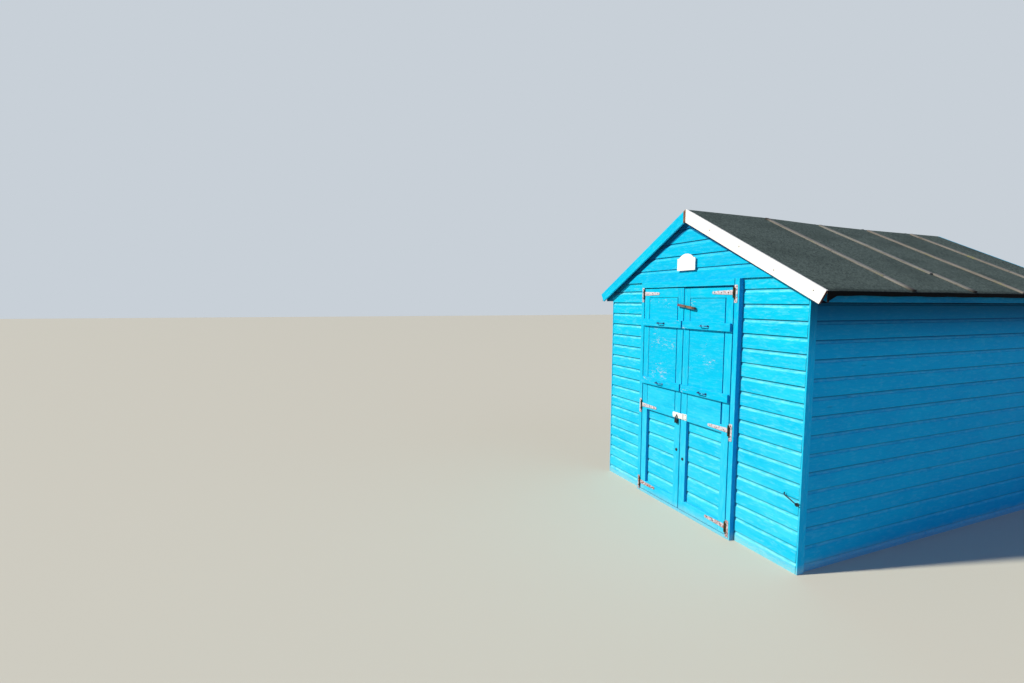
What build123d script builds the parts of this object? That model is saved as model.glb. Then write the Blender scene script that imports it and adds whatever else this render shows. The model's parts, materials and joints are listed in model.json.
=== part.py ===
from build123d import *
import os
from math import ceil, cos, radians, sin, tan

# A timber beach hut, in millimetres. X runs across the front, +Y from the front to the back, +Z up.
# The origin is on the underside of the middle floor joist, halfway between front and back.

# Whole hut
hut_width = 2422.0            # over the corner boards
hut_depth = 3658.0            # from the front boards' face to the back boards' face
roof_pitch = 27.5             # degrees
barge_pitch = 28.8            # the front barge boards rise above the felt towards the ridge
roof_seat_drop = 50.0         # underside of the roof boards at the wall's face, below the gable boards
eave_overhang = 152.0         # corner boards to the edge of the felt
verge_overhang = 62.0         # front boards' face to the barge boards' face

# Wall boards and the frame behind them
board_thickness = 20.0
gable_step = 18.0             # the gable boards stand this far in front of the boards below
stud_width = 45.0
stud_depth = 70.0
stud_spacing = 390.0          # widest spacing from stud to stud, and from rafter to rafter
corner_board_width = 70.0
corner_board_thickness = 13.0

# Floor
joist_height = 75.0
joist_width = 45.0
deck_thickness = 19.0
sill_height = 27.0

# Doorway
doorway_width = 1160.0        # between the jambs
jamb_width = 46.0
jamb_projection = 45.0        # in front of the wall boards
stop_width = 20.0             # rebate that the leaves shut into
head_bottom = 2108.0
head_height = 53.0            # the gable boards start at its top
head_projection = 52.0        # in front of the wall boards

# Door leaves
moving_gap = 5.0              # leaf to stop, hasp and turn button to leaf
hinge_gap = 9.0               # leaf to jamb
leaf_end_gap = 8.0            # above the sill and under the door head
meeting_gap = 5.2             # between the two leaves, at their front faces
meeting_bevel = 2.4           # the leading edge falls back by this over the leaf's thickness
leaf_board_thickness = 16.0
stile_width = 75.0
stile_thickness = 29.0
bottom_rail_height = 90.0
middle_rail_height = 68.0
middle_panel_height = 195.0
middle_panel_recess = 4.0     # behind the stiles' face
top_rail_height = 85.0

# Shutters over the upper part of each leaf
upper_shutter_height = 284.0
lower_shutter_height = 586.0
shutter_rail_height = 68.0
shutter_rail_projection = 23.0
shutter_rail_setback = 4.0    # from the leaf's long edges
shutter_recess = 6.0          # the shutter's sheet lies this far behind the stiles' face
shutter_gap = 3.0

# Bent bars of the ironmongery
bar_sides = 8

# Pull handles on the shutters
handle_length = 105.0
handle_reach = 26.0
handle_bar = 8.0
handle_bend = 14.0
handle_foot_length = 20.0
handle_foot_width = 15.0
handle_foot_thickness = 3.0

# Tee hinges
strap_length = 233.0
strap_root = 40.0
strap_tip = 25.0
hinge_plate_height = 144.0
hinge_plate_width = 36.0
hinge_plate_drop = 12.0       # the plate's middle lies below the strap's
hinge_thickness = 4.0
knuckle_diameter = 14.0
knuckle_length = 90.0
knuckle_clearance = 0.8
hinge_pin_diameter = 6.0
hinge_pin_clearance = 0.4
low_hinge_rise = 66.0         # above the leaf's foot
top_hinge_drop = 50.0         # below the leaf's top

# Hasp, staple and padlock on the middle rail
hasp_plate_length = 50.0
hasp_plate_width = 56.0
hasp_plate_end = 84.0         # from the hut's centre line
hasp_strap_length = 131.0
hasp_strap_width = 50.0
hasp_thickness = 4.0
hasp_knuckle_diameter = 12.0
staple_offset = 58.0          # staple to the strap's free end
staple_span = 20.0
staple_bar = 6.0
staple_reach = 17.0
slot_width = 9.0
seat_clearance = 0.3
padlock_width = 36.0
padlock_height = 42.0
padlock_thickness = 17.0
shackle_bar = 7.0
shackle_span = 22.0
shackle_rise = 28.0

# Turn button
button_length = 227.0
button_width = 28.0
button_thickness = 22.0
button_pivot_x = 47.0
button_drop = 171.0           # below the leaf's top
button_offset = 3.0           # the pivot is this far from the button's middle
button_slope = 8.0            # degrees down to the right
button_screw_diameter = 8.0
button_screw_clearance = 0.5
button_screw_head = 14.0
button_screw_head_height = 3.0

# Roof
roof_board_thickness = 16.0
felt_thickness = 4.0
felt_turn_down = 28.0
felt_below_barge = 4.0        # barge boards stand this much above the felt at the eave
rafter_depth = 70.0
rafter_seat = 15.0            # depth of the notch over the wall plate
ridge_beam_width = 44.0
ridge_beam_depth = 120.0
barge_depth = 104.0
barge_thickness = 20.0
fascia_thickness = 18.0
fascia_depth = 63.5
fascia_setback = 23.0         # fascia's face to the eave edge
rafter_tail_rise = 3.0        # rafter ends are cut level, this far above the fascia's lower edge
batten_width = 40.0
batten_thickness = 15.0
right_batten_start = 32.0     # from the ridge line, level
left_batten_start = 6.0
batten_first = 885.0          # from the front boards' face
batten_spacing = 745.0
batten_count = 4

# Sign plate on the gable, blank
sign_width = 230.0
sign_shoulder = 22.0
sign_rise = 95.0              # above the gable boards' lower edge
sign_height = 111.0
sign_arch = 40.0
sign_thickness = 8.0
sign_block_width = 120.0
sign_block_height = 70.0
sign_block_thickness = 12.0

# Holdback hook on the front wall
hook_from_corner = 110.0
hook_drop = 318.0             # below the leaves' middle rails
hook_length = 104.0
hook_slope = 27.0             # degrees down to the right
hook_bar = 7.0
hook_eye_bar = 6.0
hook_shank = 5.0
hook_standoff = 14.0
hook_eye_radius = 9.0
hook_bend_radius = 8.0
hook_plate_diameter = 26.0
hook_plate_thickness = 3.0

# Places worked out from the sizes above
front = -hut_depth / 2
back = hut_depth / 2
slope = tan(radians(roof_pitch))
barge_slope = tan(radians(barge_pitch))
upright = 1.0 / cos(radians(roof_pitch))     # turns a thickness square to the slope into a height
wall_outer = hut_width / 2 - corner_board_thickness
wall_inner = wall_outer - board_thickness
frame_inner = wall_inner - stud_depth
eave_x = hut_width / 2 + eave_overhang
frame_front = front + board_thickness
frame_back = back - board_thickness
deck_top = joist_height + deck_thickness
gable_line = head_bottom + head_height
half_doorway = doorway_width / 2
stop_x = half_doorway - stop_width
stop_y = front + moving_gap
leaf_front = front - jamb_projection
leaf_outer = half_doorway - hinge_gap
leaf_inner = meeting_gap / 2
leaf_bottom = sill_height + leaf_end_gap
leaf_top = head_bottom - leaf_end_gap
upper_shutter_bottom = leaf_top - top_rail_height - upper_shutter_height
lower_shutter_bottom = upper_shutter_bottom - lower_shutter_height
middle_rail_bottom = lower_shutter_bottom - middle_panel_height - middle_rail_height
middle_rail_middle = middle_rail_bottom + middle_rail_height / 2
stile_back = leaf_front + stile_thickness
hinge_x = half_doorway - hinge_gap / 2
hinge_y = leaf_front - knuckle_diameter / 2
hinge_heights = (leaf_bottom + low_hinge_rise, middle_rail_middle, leaf_top - top_hinge_drop)
button_pivot_height = leaf_top - button_drop
verge_y = front - verge_overhang + barge_thickness
back_verge_y = back + verge_overhang - barge_thickness
head_stop_bottom = head_bottom - stop_width
shutter_face = leaf_front - shutter_rail_projection
rafter_tail = eave_x - fascia_setback - fascia_thickness


# Heights of the roof's layers at a distance x from the ridge line
def rafter_line(x):
    return gable_line - roof_seat_drop + slope * (wall_outer - x)


def rafter_underside(x):
    return rafter_line(x) - rafter_depth * upright


def roof_board_line(x):
    return rafter_line(x) + roof_board_thickness * upright


def felt_line(x):
    return roof_board_line(x) + felt_thickness * upright


def barge_line(x):
    return felt_line(eave_x) + felt_below_barge * upright + barge_slope * (eave_x - x)


ridge_beam_bottom = rafter_line(ridge_beam_width / 2) - ridge_beam_depth
plate_top = rafter_underside(wall_inner) + rafter_seat
tie_bottom = plate_top - stud_width
fascia_bottom = rafter_line(rafter_tail + fascia_thickness) - fascia_depth
rafter_end_bottom = fascia_bottom + rafter_tail_rise


def block(x0, x1, y0, y1, z0, z1):
    return Pos((x0 + x1) / 2, (y0 + y1) / 2, (z0 + z1) / 2) * Box(x1 - x0, y1 - y0, z1 - z0)


# A profile drawn in the X-Z plane and carried from y0 to y1
def profile(points, y0, y1):
    outline = Polyline(*[(x, y0, z) for x, z in points], close=True)
    return extrude(make_face(outline), amount=y1 - y0, dir=(0, 1, 0))


# A profile drawn in the X-Y plane and carried up from z0 to z1
def column(points, z0, z1):
    outline = Polyline(*[(x, y, z0) for x, y in points], close=True)
    return extrude(make_face(outline), amount=z1 - z0, dir=(0, 0, 1))


def rod(start, end, diameter):
    axis = Vector(*end) - Vector(*start)
    bar = Cylinder(diameter / 2, axis.length, align=(Align.CENTER, Align.CENTER, Align.MIN))
    return Plane(origin=start, z_dir=axis) * bar


# A bar that follows a bent route, eight-sided so that it stays light
def bent_bar(route, diameter):
    section = RegularPolygon(diameter / 2, bar_sides, major_radius=False)
    return sweep(Plane(origin=route @ 0, z_dir=route % 0) * section, path=route)


def mirrored(shape):
    return mirror(shape, about=Plane.YZ)


# Even places from first to last, no further apart than the stud spacing
def even_places(first, last):
    count = ceil((last - first) / stud_spacing)
    return [first + (last - first) * i / count for i in range(count + 1)]


# The space below the rafters, to trim what stands under them
def below_rafters(y0, y1):
    side = wall_inner
    low = rafter_underside(side)
    return profile([(-side, 0), (side, 0), (side, low), (0, rafter_underside(0)), (-side, low)], y0, y1)


def floor_joists():
    y0, y1 = frame_front, frame_back
    reach = wall_inner - joist_width / 2
    rims = block(-wall_inner, wall_inner, y0, y0 + joist_width, 0, joist_height)
    rims += block(-wall_inner, wall_inner, y1 - joist_width, y1, 0, joist_height)
    half = even_places(0, reach)
    for x in [-place for place in half[1:]] + half:
        rims += block(x - joist_width / 2, x + joist_width / 2, y0, y1, 0, joist_height)
    return rims


def floor_deck():
    return block(-wall_inner, wall_inner, frame_front, frame_back, joist_height, deck_top)


# Threshold with an upstand that the leaves shut against
def door_sill():
    y0, y1 = leaf_front, frame_front
    section = [(y0, 0), (y1, 0), (y1, deck_top), (stop_y, deck_top), (stop_y, sill_height), (y0, sill_height)]
    outline = Polyline(*[(-half_doorway, y, z) for y, z in section], close=True)
    return extrude(make_face(outline), amount=doorway_width, dir=(1, 0, 0))


def door_head():
    y0, y1 = front - head_projection, frame_front
    section = [(y0, head_bottom), (stop_y, head_bottom), (stop_y, head_stop_bottom), (y1, head_stop_bottom)]
    section += [(y1, gable_line), (y0, gable_line)]
    outline = Polyline(*[(-half_doorway, y, z) for y, z in section], close=True)
    return extrude(make_face(outline), amount=doorway_width, dir=(1, 0, 0))


def right_jamb():
    post = block(half_doorway, half_doorway + jamb_width, leaf_front, frame_front, 0, gable_line)
    stop = block(stop_x, half_doorway, stop_y, frame_front, deck_top, head_stop_bottom)
    return post + stop


def front_wall_right():
    x0 = half_doorway + jamb_width
    points = [(x0, 0), (wall_outer, 0), (wall_outer, rafter_line(wall_outer))]
    points += [((rafter_line(0) - gable_line) / slope, gable_line), (x0, gable_line)]
    return profile(points, front, frame_front)


# Studs across the gable stand at these distances from the centre line
gable_stud_places = [-2 * stud_spacing, -stud_spacing, 0.0, stud_spacing, 2 * stud_spacing]


def front_gable():
    reach = (rafter_line(0) - gable_line) / slope
    triangle = [(-reach, gable_line), (reach, gable_line), (0, rafter_line(0))]
    face = front - gable_step
    boards = profile(triangle, face, face + board_thickness)
    y0, y1 = face + board_thickness, frame_front
    space = profile(triangle, y0, y1)
    for x in gable_stud_places:
        boards += block(x - stud_width / 2, x + stud_width / 2, y0, y1, gable_line, rafter_line(0)) & space
    return boards


def ridge_beam():
    half = ridge_beam_width / 2
    top = rafter_line(half)
    return block(-half, half, frame_front, frame_back, ridge_beam_bottom, top)


# Rafters of the right slope, each notched over the wall plate
def rafters_right():
    x0, x1 = ridge_beam_width / 2, rafter_tail
    notch_x = (rafter_underside(0) - plate_top) / slope
    level_x = x1 - (rafter_end_bottom - rafter_underside(x1)) / slope
    points = [(x0, rafter_line(x0)), (x1, rafter_line(x1))]
    points += [(x1, rafter_end_bottom), (level_x, rafter_end_bottom)]
    points += [(wall_inner, rafter_underside(wall_inner)), (wall_inner, plate_top), (notch_x, plate_top)]
    points += [(x0, rafter_underside(x0))]
    places = even_places(frame_front, frame_back - stud_width)
    return [profile(points, y, y + stud_width) for y in places]


def lintel():
    y0, y1 = frame_front, frame_front + stud_depth
    beam = block(-frame_inner, frame_inner, y0, y1, head_stop_bottom, gable_line)
    for x in gable_stud_places:
        beam += block(x - stud_width / 2, x + stud_width / 2, y0, y1, gable_line, ridge_beam_bottom)
    return beam & below_rafters(y0, y1)


# Frame of the front wall between the door post and the corner
def front_frame_right():
    y0, y1 = frame_front, frame_front + stud_depth
    frame = block(stop_x, frame_inner, y0, y1, deck_top, deck_top + stud_width)
    frame += block(stop_x, frame_inner, y0, y1, head_stop_bottom - stud_width, head_stop_bottom)
    for x in even_places(stop_x, frame_inner - stud_width):
        frame += block(x, x + stud_width, y0, y1, deck_top, head_stop_bottom)
    return frame & below_rafters(y0, y1)


def right_frame():
    x0, x1 = frame_inner, wall_inner
    frame = block(x0, x1, frame_front, frame_back, deck_top, deck_top + stud_width)
    frame += block(x0, x1, frame_front, frame_back, tie_bottom, plate_top)
    for y in even_places(frame_front, frame_back - stud_width):
        frame += block(x0, x1, y, y + stud_width, deck_top, plate_top)
    return frame


def back_frame():
    y0, y1 = frame_back - stud_depth, frame_back
    frame = block(-frame_inner, frame_inner, y0, y1, deck_top, deck_top + stud_width)
    frame += block(-frame_inner, frame_inner, y0, y1, tie_bottom, plate_top)
    half = even_places(0, frame_inner - stud_width / 2)
    for x in [-place for place in half[1:]] + half:
        frame += block(x - stud_width / 2, x + stud_width / 2, y0, y1, deck_top, ridge_beam_bottom)
    return frame & below_rafters(y0, y1)


# Side boards, let in round each rafter
def right_wall():
    points = [(wall_inner, 0), (wall_outer, 0), (wall_outer, rafter_line(wall_outer))]
    points += [(wall_inner, rafter_line(wall_inner))]
    wall = profile(points, frame_front, frame_back)
    for rafter in rafters_right():
        wall -= rafter
    return wall


def back_wall():
    side = rafter_line(wall_outer)
    points = [(-wall_outer, 0), (wall_outer, 0), (wall_outer, side), (0, rafter_line(0)), (-wall_outer, side)]
    return profile(points, frame_back, back)


def corner_boards():
    x0, x1 = wall_outer, hut_width / 2
    points = [(x0, 0), (x1, 0), (x1, rafter_underside(x1)), (x0, rafter_underside(x0))]
    boards = []
    for y0, y1 in ((front, front + corner_board_width), (back - corner_board_width, back)):
        board = profile(points, y0, y1)
        boards += [board, mirrored(board)]
    return boards


def roof_deck_right():
    x1 = eave_x - felt_thickness
    points = [(0, rafter_line(0)), (x1, rafter_line(x1)), (x1, roof_board_line(x1)), (0, roof_board_line(0))]
    return profile(points, verge_y, back_verge_y)


# Mineral felt, turned down over the eave edge
def roof_felt_right():
    x1, x0 = eave_x, eave_x - felt_thickness
    drip = felt_line(x1) - felt_turn_down
    points = [(0, felt_line(0)), (x1, felt_line(x1)), (x1, drip), (x0, drip), (x0, roof_board_line(x0))]
    points += [(0, roof_board_line(0))]
    return profile(points, verge_y, back_verge_y)


# A batten down the right slope, from x0 to the eave
def batten(x0, y):
    rise_x = batten_thickness * sin(radians(roof_pitch))
    rise_z = batten_thickness * cos(radians(roof_pitch))
    x1 = eave_x - rise_x
    low = [(x0, felt_line(x0)), (x1, felt_line(x1))]
    high = [(x + rise_x, z + rise_z) for x, z in reversed(low)]
    return profile(low + high, y - batten_width / 2, y + batten_width / 2)


# Battens that hold the felt down, one strip down each slope at each place
def roof_battens():
    strips = []
    for i in range(batten_count):
        y = front + batten_first + batten_spacing * i
        strips += [batten(right_batten_start, y), mirrored(batten(left_batten_start, y))]
    return strips


# Barge board of the right slope under a given top line, plumb at the ridge and cut square at the eave
def barge_board_right(y0, top_line, pitch):
    foot_x = eave_x - barge_depth * sin(radians(pitch))
    foot_z = top_line(eave_x) - barge_depth * cos(radians(pitch))
    points = [(0, top_line(0)), (eave_x, top_line(eave_x)), (foot_x, foot_z)]
    points += [(0, top_line(0) - barge_depth / cos(radians(pitch)))]
    return profile(points, y0, y0 + barge_thickness)


# The back boards are flush with the felt
def barges_back():
    board = barge_board_right(back_verge_y, felt_line, roof_pitch)
    return board + mirrored(board)


def eaves_fascias():
    x0, x1 = rafter_tail, rafter_tail + fascia_thickness
    points = [(x0, fascia_bottom), (x1, fascia_bottom), (x1, rafter_line(x1)), (x0, rafter_line(x0))]
    board = profile(points, front, back)
    return [board, mirrored(board)]


# Blank plate with square shoulders and an arched top, on a block
def sign_plate():
    y1 = front - gable_step
    y0 = y1 - sign_block_thickness
    half = sign_width / 2
    arch_half = half - sign_shoulder
    bottom = gable_line + sign_rise
    shoulder_z = bottom + sign_height
    start, end = (arch_half, y0, shoulder_z), (-arch_half, y0, shoulder_z)
    left_side = [end, (-half, y0, shoulder_z), (-half, y0, bottom)]
    right_side = [(half, y0, bottom), (half, y0, shoulder_z), start]
    sides = Polyline(*left_side, *right_side)
    arch = ThreePointArc(start, (0, y0, shoulder_z + sign_arch), end)
    plate = extrude(make_face([*sides.edges(), *arch.edges()]), amount=sign_thickness, dir=(0, -1, 0))
    middle = bottom + sign_height / 2
    plate += block(-sign_block_width / 2, sign_block_width / 2, y0, y1,
                   middle - sign_block_height / 2, middle + sign_block_height / 2)
    return plate


# Hook that holds an opened leaf back: a rose and eye on the wall and a bar with a bent end
def holdback_hook():
    y = front - hook_standoff
    eye_x = wall_outer - hook_from_corner
    eye_z = middle_rail_bottom - hook_drop
    lean_x, lean_z = cos(radians(hook_slope)), -sin(radians(hook_slope))

    def along(distance, depth=0.0):
        return (eye_x + lean_x * distance, y + depth, eye_z + lean_z * distance)

    route = FilletPolyline(along(hook_eye_radius), along(hook_length), along(hook_length, hook_bend_radius),
                           radius=hook_bend_radius * 0.9)
    hook = bent_bar(route, hook_bar)
    eye_ends = ((eye_x, y - hook_eye_bar / 2, eye_z), (eye_x, y + hook_eye_bar / 2, eye_z))
    ring = rod(*eye_ends, 2 * hook_eye_radius + hook_eye_bar)
    hole = rod(*eye_ends, 2 * hook_eye_radius - hook_eye_bar)
    shank_z = eye_z - hook_eye_radius
    shank = rod((eye_x, front, shank_z), (eye_x, y, shank_z), hook_shank)
    rose = rod((eye_x, front, shank_z), (eye_x, front - hook_plate_thickness, shank_z), hook_plate_diameter)
    return hook + (ring - hole) + shank + rose


# The right leaf's whole outline in plan, with its bevelled leading edge
def leaf_blank(z0, z1):
    points = [(leaf_inner, leaf_front), (leaf_outer, leaf_front), (leaf_outer, front)]
    points += [(leaf_inner + meeting_bevel, front)]
    return column(points, z0, z1)


def right_door_boards():
    boards = block(0, leaf_outer, front - leaf_board_thickness, front, 0, leaf_top)
    return leaf_blank(leaf_bottom, leaf_top) & boards


# Stiles, three rails and the sunk panel above the middle rail
def right_door_frame():
    blank = leaf_blank(leaf_bottom, leaf_top)
    x0, x1 = leaf_inner + stile_width, leaf_outer - stile_width
    y0, y1 = leaf_front, stile_back
    middle_top = middle_rail_bottom + middle_rail_height
    frame = blank & block(0, x0, y0, y1, leaf_bottom, leaf_top)
    frame += block(x1, leaf_outer, y0, y1, leaf_bottom, leaf_top)
    frame += block(x0, x1, y0, y1, leaf_bottom, leaf_bottom + bottom_rail_height)
    frame += block(x0, x1, y0, y1, middle_rail_bottom, middle_top)
    frame += block(x0, x1, y0, y1, leaf_top - top_rail_height, leaf_top)
    frame += block(x0, x1, y0 + middle_panel_recess, y1, middle_top, lower_shutter_bottom - shutter_gap)
    return frame


# A shutter is a sheet between the stiles with a heavy rail across its foot
def shutter(bottom, top):
    x0 = leaf_inner + stile_width + shutter_gap
    x1 = leaf_outer - stile_width - shutter_gap
    rail_top = bottom + shutter_rail_height
    sheet = block(x0, x1, leaf_front + shutter_recess, stile_back, bottom, top - shutter_gap)
    sheet += block(x0, x1, leaf_front, leaf_front + shutter_recess, bottom, rail_top)
    rail_x0, rail_x1 = leaf_inner + shutter_rail_setback, leaf_outer - shutter_rail_setback
    return sheet + block(rail_x0, rail_x1, shutter_face, leaf_front, bottom, rail_top)


def right_shutters():
    lower = shutter(lower_shutter_bottom, upper_shutter_bottom)
    upper = shutter(upper_shutter_bottom, leaf_top - top_rail_height)
    return [lower, upper]


# A bow handle of round bar with a flat foot at each end
def handle(x, z):
    half = (handle_length - handle_foot_length) / 2
    out = shutter_face - handle_reach
    corners = [(x - half, shutter_face, z), (x - half, out, z)]
    corners += [(x + half, out, z), (x + half, shutter_face, z)]
    bow = bent_bar(FilletPolyline(*corners, radius=handle_bend), handle_bar)
    foot = Box(handle_foot_length, handle_foot_thickness, handle_foot_width)
    for place in (x - half, x + half):
        bow += Pos(place, shutter_face - handle_foot_thickness / 2, z) * foot
    return bow


def right_handles():
    x = (leaf_inner + leaf_outer) / 2
    bottoms = (lower_shutter_bottom, upper_shutter_bottom)
    return [handle(x, bottom + shutter_rail_height / 2) for bottom in bottoms]


# Straps on the leaf: tapered, round at the tip, with the middle knuckle bored for the pin
def hinge_strap(height):
    half_root, half_tip = strap_root / 2, strap_tip / 2
    tip_x = hinge_x - strap_length + half_tip
    y = leaf_front
    low, high = (tip_x, y, height - half_tip), (tip_x, y, height + half_tip)
    root = Polyline(low, (hinge_x, y, height - half_root), (hinge_x, y, height + half_root), high)
    tip = ThreePointArc(high, (tip_x - half_tip, y, height), low)
    strap = extrude(make_face([*root.edges(), *tip.edges()]), amount=hinge_thickness, dir=(0, -1, 0))
    ends = ((hinge_x, hinge_y, height - half_root), (hinge_x, hinge_y, height + half_root))
    bore = hinge_pin_diameter + 2 * hinge_pin_clearance
    return strap + rod(*ends, knuckle_diameter) - rod(*ends, bore)


# Plates on the jamb: the outer knuckles and the pin, cut away round the strap's knuckle
def hinge_plate(height):
    bottom = height - hinge_plate_drop - hinge_plate_height / 2
    top = bottom + hinge_plate_height
    pin_bottom, pin_top = height - knuckle_length / 2, height + knuckle_length / 2
    pin_ends = ((hinge_x, hinge_y, pin_bottom), (hinge_x, hinge_y, pin_top))
    plate = block(hinge_x, hinge_x + hinge_plate_width, leaf_front - hinge_thickness, leaf_front, bottom, top)
    plate = chamfer(plate.edges().filter_by(Axis.Y).sort_by(Axis.X)[-2:], hinge_thickness)
    plate -= block(hinge_x, half_doorway, hinge_y, leaf_front, pin_top, top)
    plate -= block(hinge_x, half_doorway, hinge_y, leaf_front, bottom, pin_bottom)
    plate += rod(*pin_ends, knuckle_diameter)
    reach = knuckle_diameter / 2 + knuckle_clearance
    half_gap = strap_root / 2 + knuckle_clearance
    gap_bottom, gap_top = height - half_gap, height + half_gap
    plate -= block(hinge_x - reach, hinge_x + reach, hinge_y - reach, leaf_front, gap_bottom, gap_top)
    return plate + rod(*pin_ends, hinge_pin_diameter)


def right_hinge_straps():
    return [hinge_strap(height) for height in hinge_heights]


def hinge_plates():
    plates = [hinge_plate(height) for height in hinge_heights]
    return plates + [mirrored(plate) for plate in plates]


staple_x = hasp_plate_end - hasp_plate_length - hasp_strap_length + staple_offset
strap_back = leaf_front - moving_gap
strap_front = strap_back - hasp_thickness


# Hasp on the right leaf: plate, knuckle and a slotted strap that reaches over the left leaf
def hasp():
    x0 = hasp_plate_end - hasp_plate_length
    end = x0 - hasp_strap_length
    z = middle_rail_middle
    bottom, top = z - hasp_plate_width / 2, z + hasp_plate_width / 2
    plate = block(x0, hasp_plate_end, leaf_front - hasp_thickness, leaf_front, bottom, top)
    plate = chamfer(plate.edges().filter_by(Axis.Y).sort_by(Axis.X)[-2:], hasp_thickness)
    knuckle_y = leaf_front - hasp_knuckle_diameter / 2
    plate += rod((x0, knuckle_y, bottom), (x0, knuckle_y, top), hasp_knuckle_diameter)
    half = hasp_strap_width / 2
    strap = block(end, x0, strap_front, strap_back, z - half, z + half)
    strap = chamfer(strap.edges().filter_by(Axis.Y).sort_by(Axis.X)[:2], 2 * hasp_thickness)
    half = (staple_span + staple_bar) / 2 + seat_clearance
    slot_x0, slot_x1 = staple_x - slot_width / 2, staple_x + slot_width / 2
    strap -= block(slot_x0, slot_x1, strap_front, strap_back, z - half, z + half)
    return plate + strap


# The staple stands through the strap's slot and the shackle hangs on its lower leg
def staple():
    out = strap_front - staple_reach + staple_bar / 2
    low, high = middle_rail_middle - staple_span / 2, middle_rail_middle + staple_span / 2
    corners = [(staple_x, strap_back, low), (staple_x, out, low)]
    corners += [(staple_x, out, high), (staple_x, strap_back, high)]
    return bent_bar(FilletPolyline(*corners, radius=staple_bar), staple_bar)


def padlock():
    y = strap_front - staple_reach / 2 + staple_bar / 2
    hang = middle_rail_middle - staple_span / 2 + staple_bar / 2 + seat_clearance + shackle_bar / 2
    body_top = hang - shackle_rise
    body = Box(padlock_width, padlock_thickness, padlock_height)
    body = Pos(staple_x, y, body_top - padlock_height / 2) * body
    body = fillet(body.edges().filter_by(Axis.Y), shackle_bar / 2)
    radius = shackle_span / 2
    left, right = (staple_x - radius, y, hang - radius), (staple_x + radius, y, hang - radius)
    legs = Line((left[0], y, body_top), left) + ThreePointArc(left, (staple_x, y, hang), right)
    legs += Line(right, (right[0], y, body_top))
    return body + bent_bar(legs, shackle_bar)


# The screw and spacer that the turn button swings on belong to the right leaf's frame
def button_screw():
    x, z = button_pivot_x, button_pivot_height
    back_of_button = leaf_front - moving_gap
    face = back_of_button - button_thickness - button_screw_clearance
    spacer = rod((x, leaf_front, z), (x, back_of_button + button_screw_clearance, z), button_screw_head)
    shank = rod((x, leaf_front, z), (x, face, z), button_screw_diameter)
    head = rod((x, face, z), (x, face - button_screw_head_height, z), button_screw_head)
    return spacer + shank + head


def turn_button():
    y0 = leaf_front - moving_gap - button_thickness
    half_length, half_width = button_length / 2, button_width / 2
    bar = block(-half_length, half_length, y0, leaf_front - moving_gap, -half_width, half_width)
    bar = chamfer(bar.edges().filter_by(Axis.Z), button_width / 7)
    bar = Pos(button_offset, 0, 0) * bar
    bore = button_screw_diameter + 2 * button_screw_clearance
    bar -= rod((0, y0, 0), (0, leaf_front, 0), bore)
    return Pos(button_pivot_x, 0, button_pivot_height) * Rot(0, button_slope, 0) * bar


def save(name, pieces):
    pieces = pieces if isinstance(pieces, list) else [pieces]
    solids = [solid for piece in pieces for solid in piece.solids()]
    shape = solids[0] if len(solids) == 1 else Compound(children=solids)
    shape.label = name
    export_step(shape, "parts/" + name + ".step")


def both_sides(name, pieces):
    pieces = pieces if isinstance(pieces, list) else [pieces]
    save("right_" + name, pieces)
    save("left_" + name, [mirrored(piece) for piece in pieces])


os.makedirs("parts", exist_ok=True)

save("floor_joists", floor_joists())
save("floor_deck", floor_deck())
save("door_sill", door_sill())
save("door_head", door_head())
both_sides("jamb", right_jamb())
both_sides("front_wall", front_wall_right())
both_sides("front_frame", front_frame_right())
save("front_gable", front_gable())
save("lintel", lintel() - ridge_beam())
both_sides("wall", right_wall())
both_sides("side_frame", right_frame())
save("back_wall", back_wall())
save("back_frame", back_frame() - ridge_beam())
save("corner_boards", corner_boards())
save("ridge_beam", ridge_beam())
both_sides("rafters", rafters_right())
both_sides("roof_deck", roof_deck_right())
both_sides("roof_felt", roof_felt_right())
save("roof_battens", roof_battens())
both_sides("barge_board", barge_board_right(front - verge_overhang, barge_line, barge_pitch))
save("back_barge_boards", barges_back())
save("eaves_fascias", eaves_fascias())
save("sign_plate", sign_plate())
save("holdback_hook", holdback_hook())
save("hinge_plates", hinge_plates())
both_sides("door_boards", right_door_boards())
save("right_door_frame", right_door_frame() + button_screw())
save("left_door_frame", mirrored(right_door_frame()))
both_sides("shutters", right_shutters())
both_sides("handles", right_handles())
both_sides("hinge_straps", right_hinge_straps())
save("hasp", [hasp(), staple()])
save("padlock", padlock())
save("turn_button", turn_button())
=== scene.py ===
import json
import math
import random

import bmesh
import bpy
from mathutils import Matrix, Vector, noise

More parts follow.
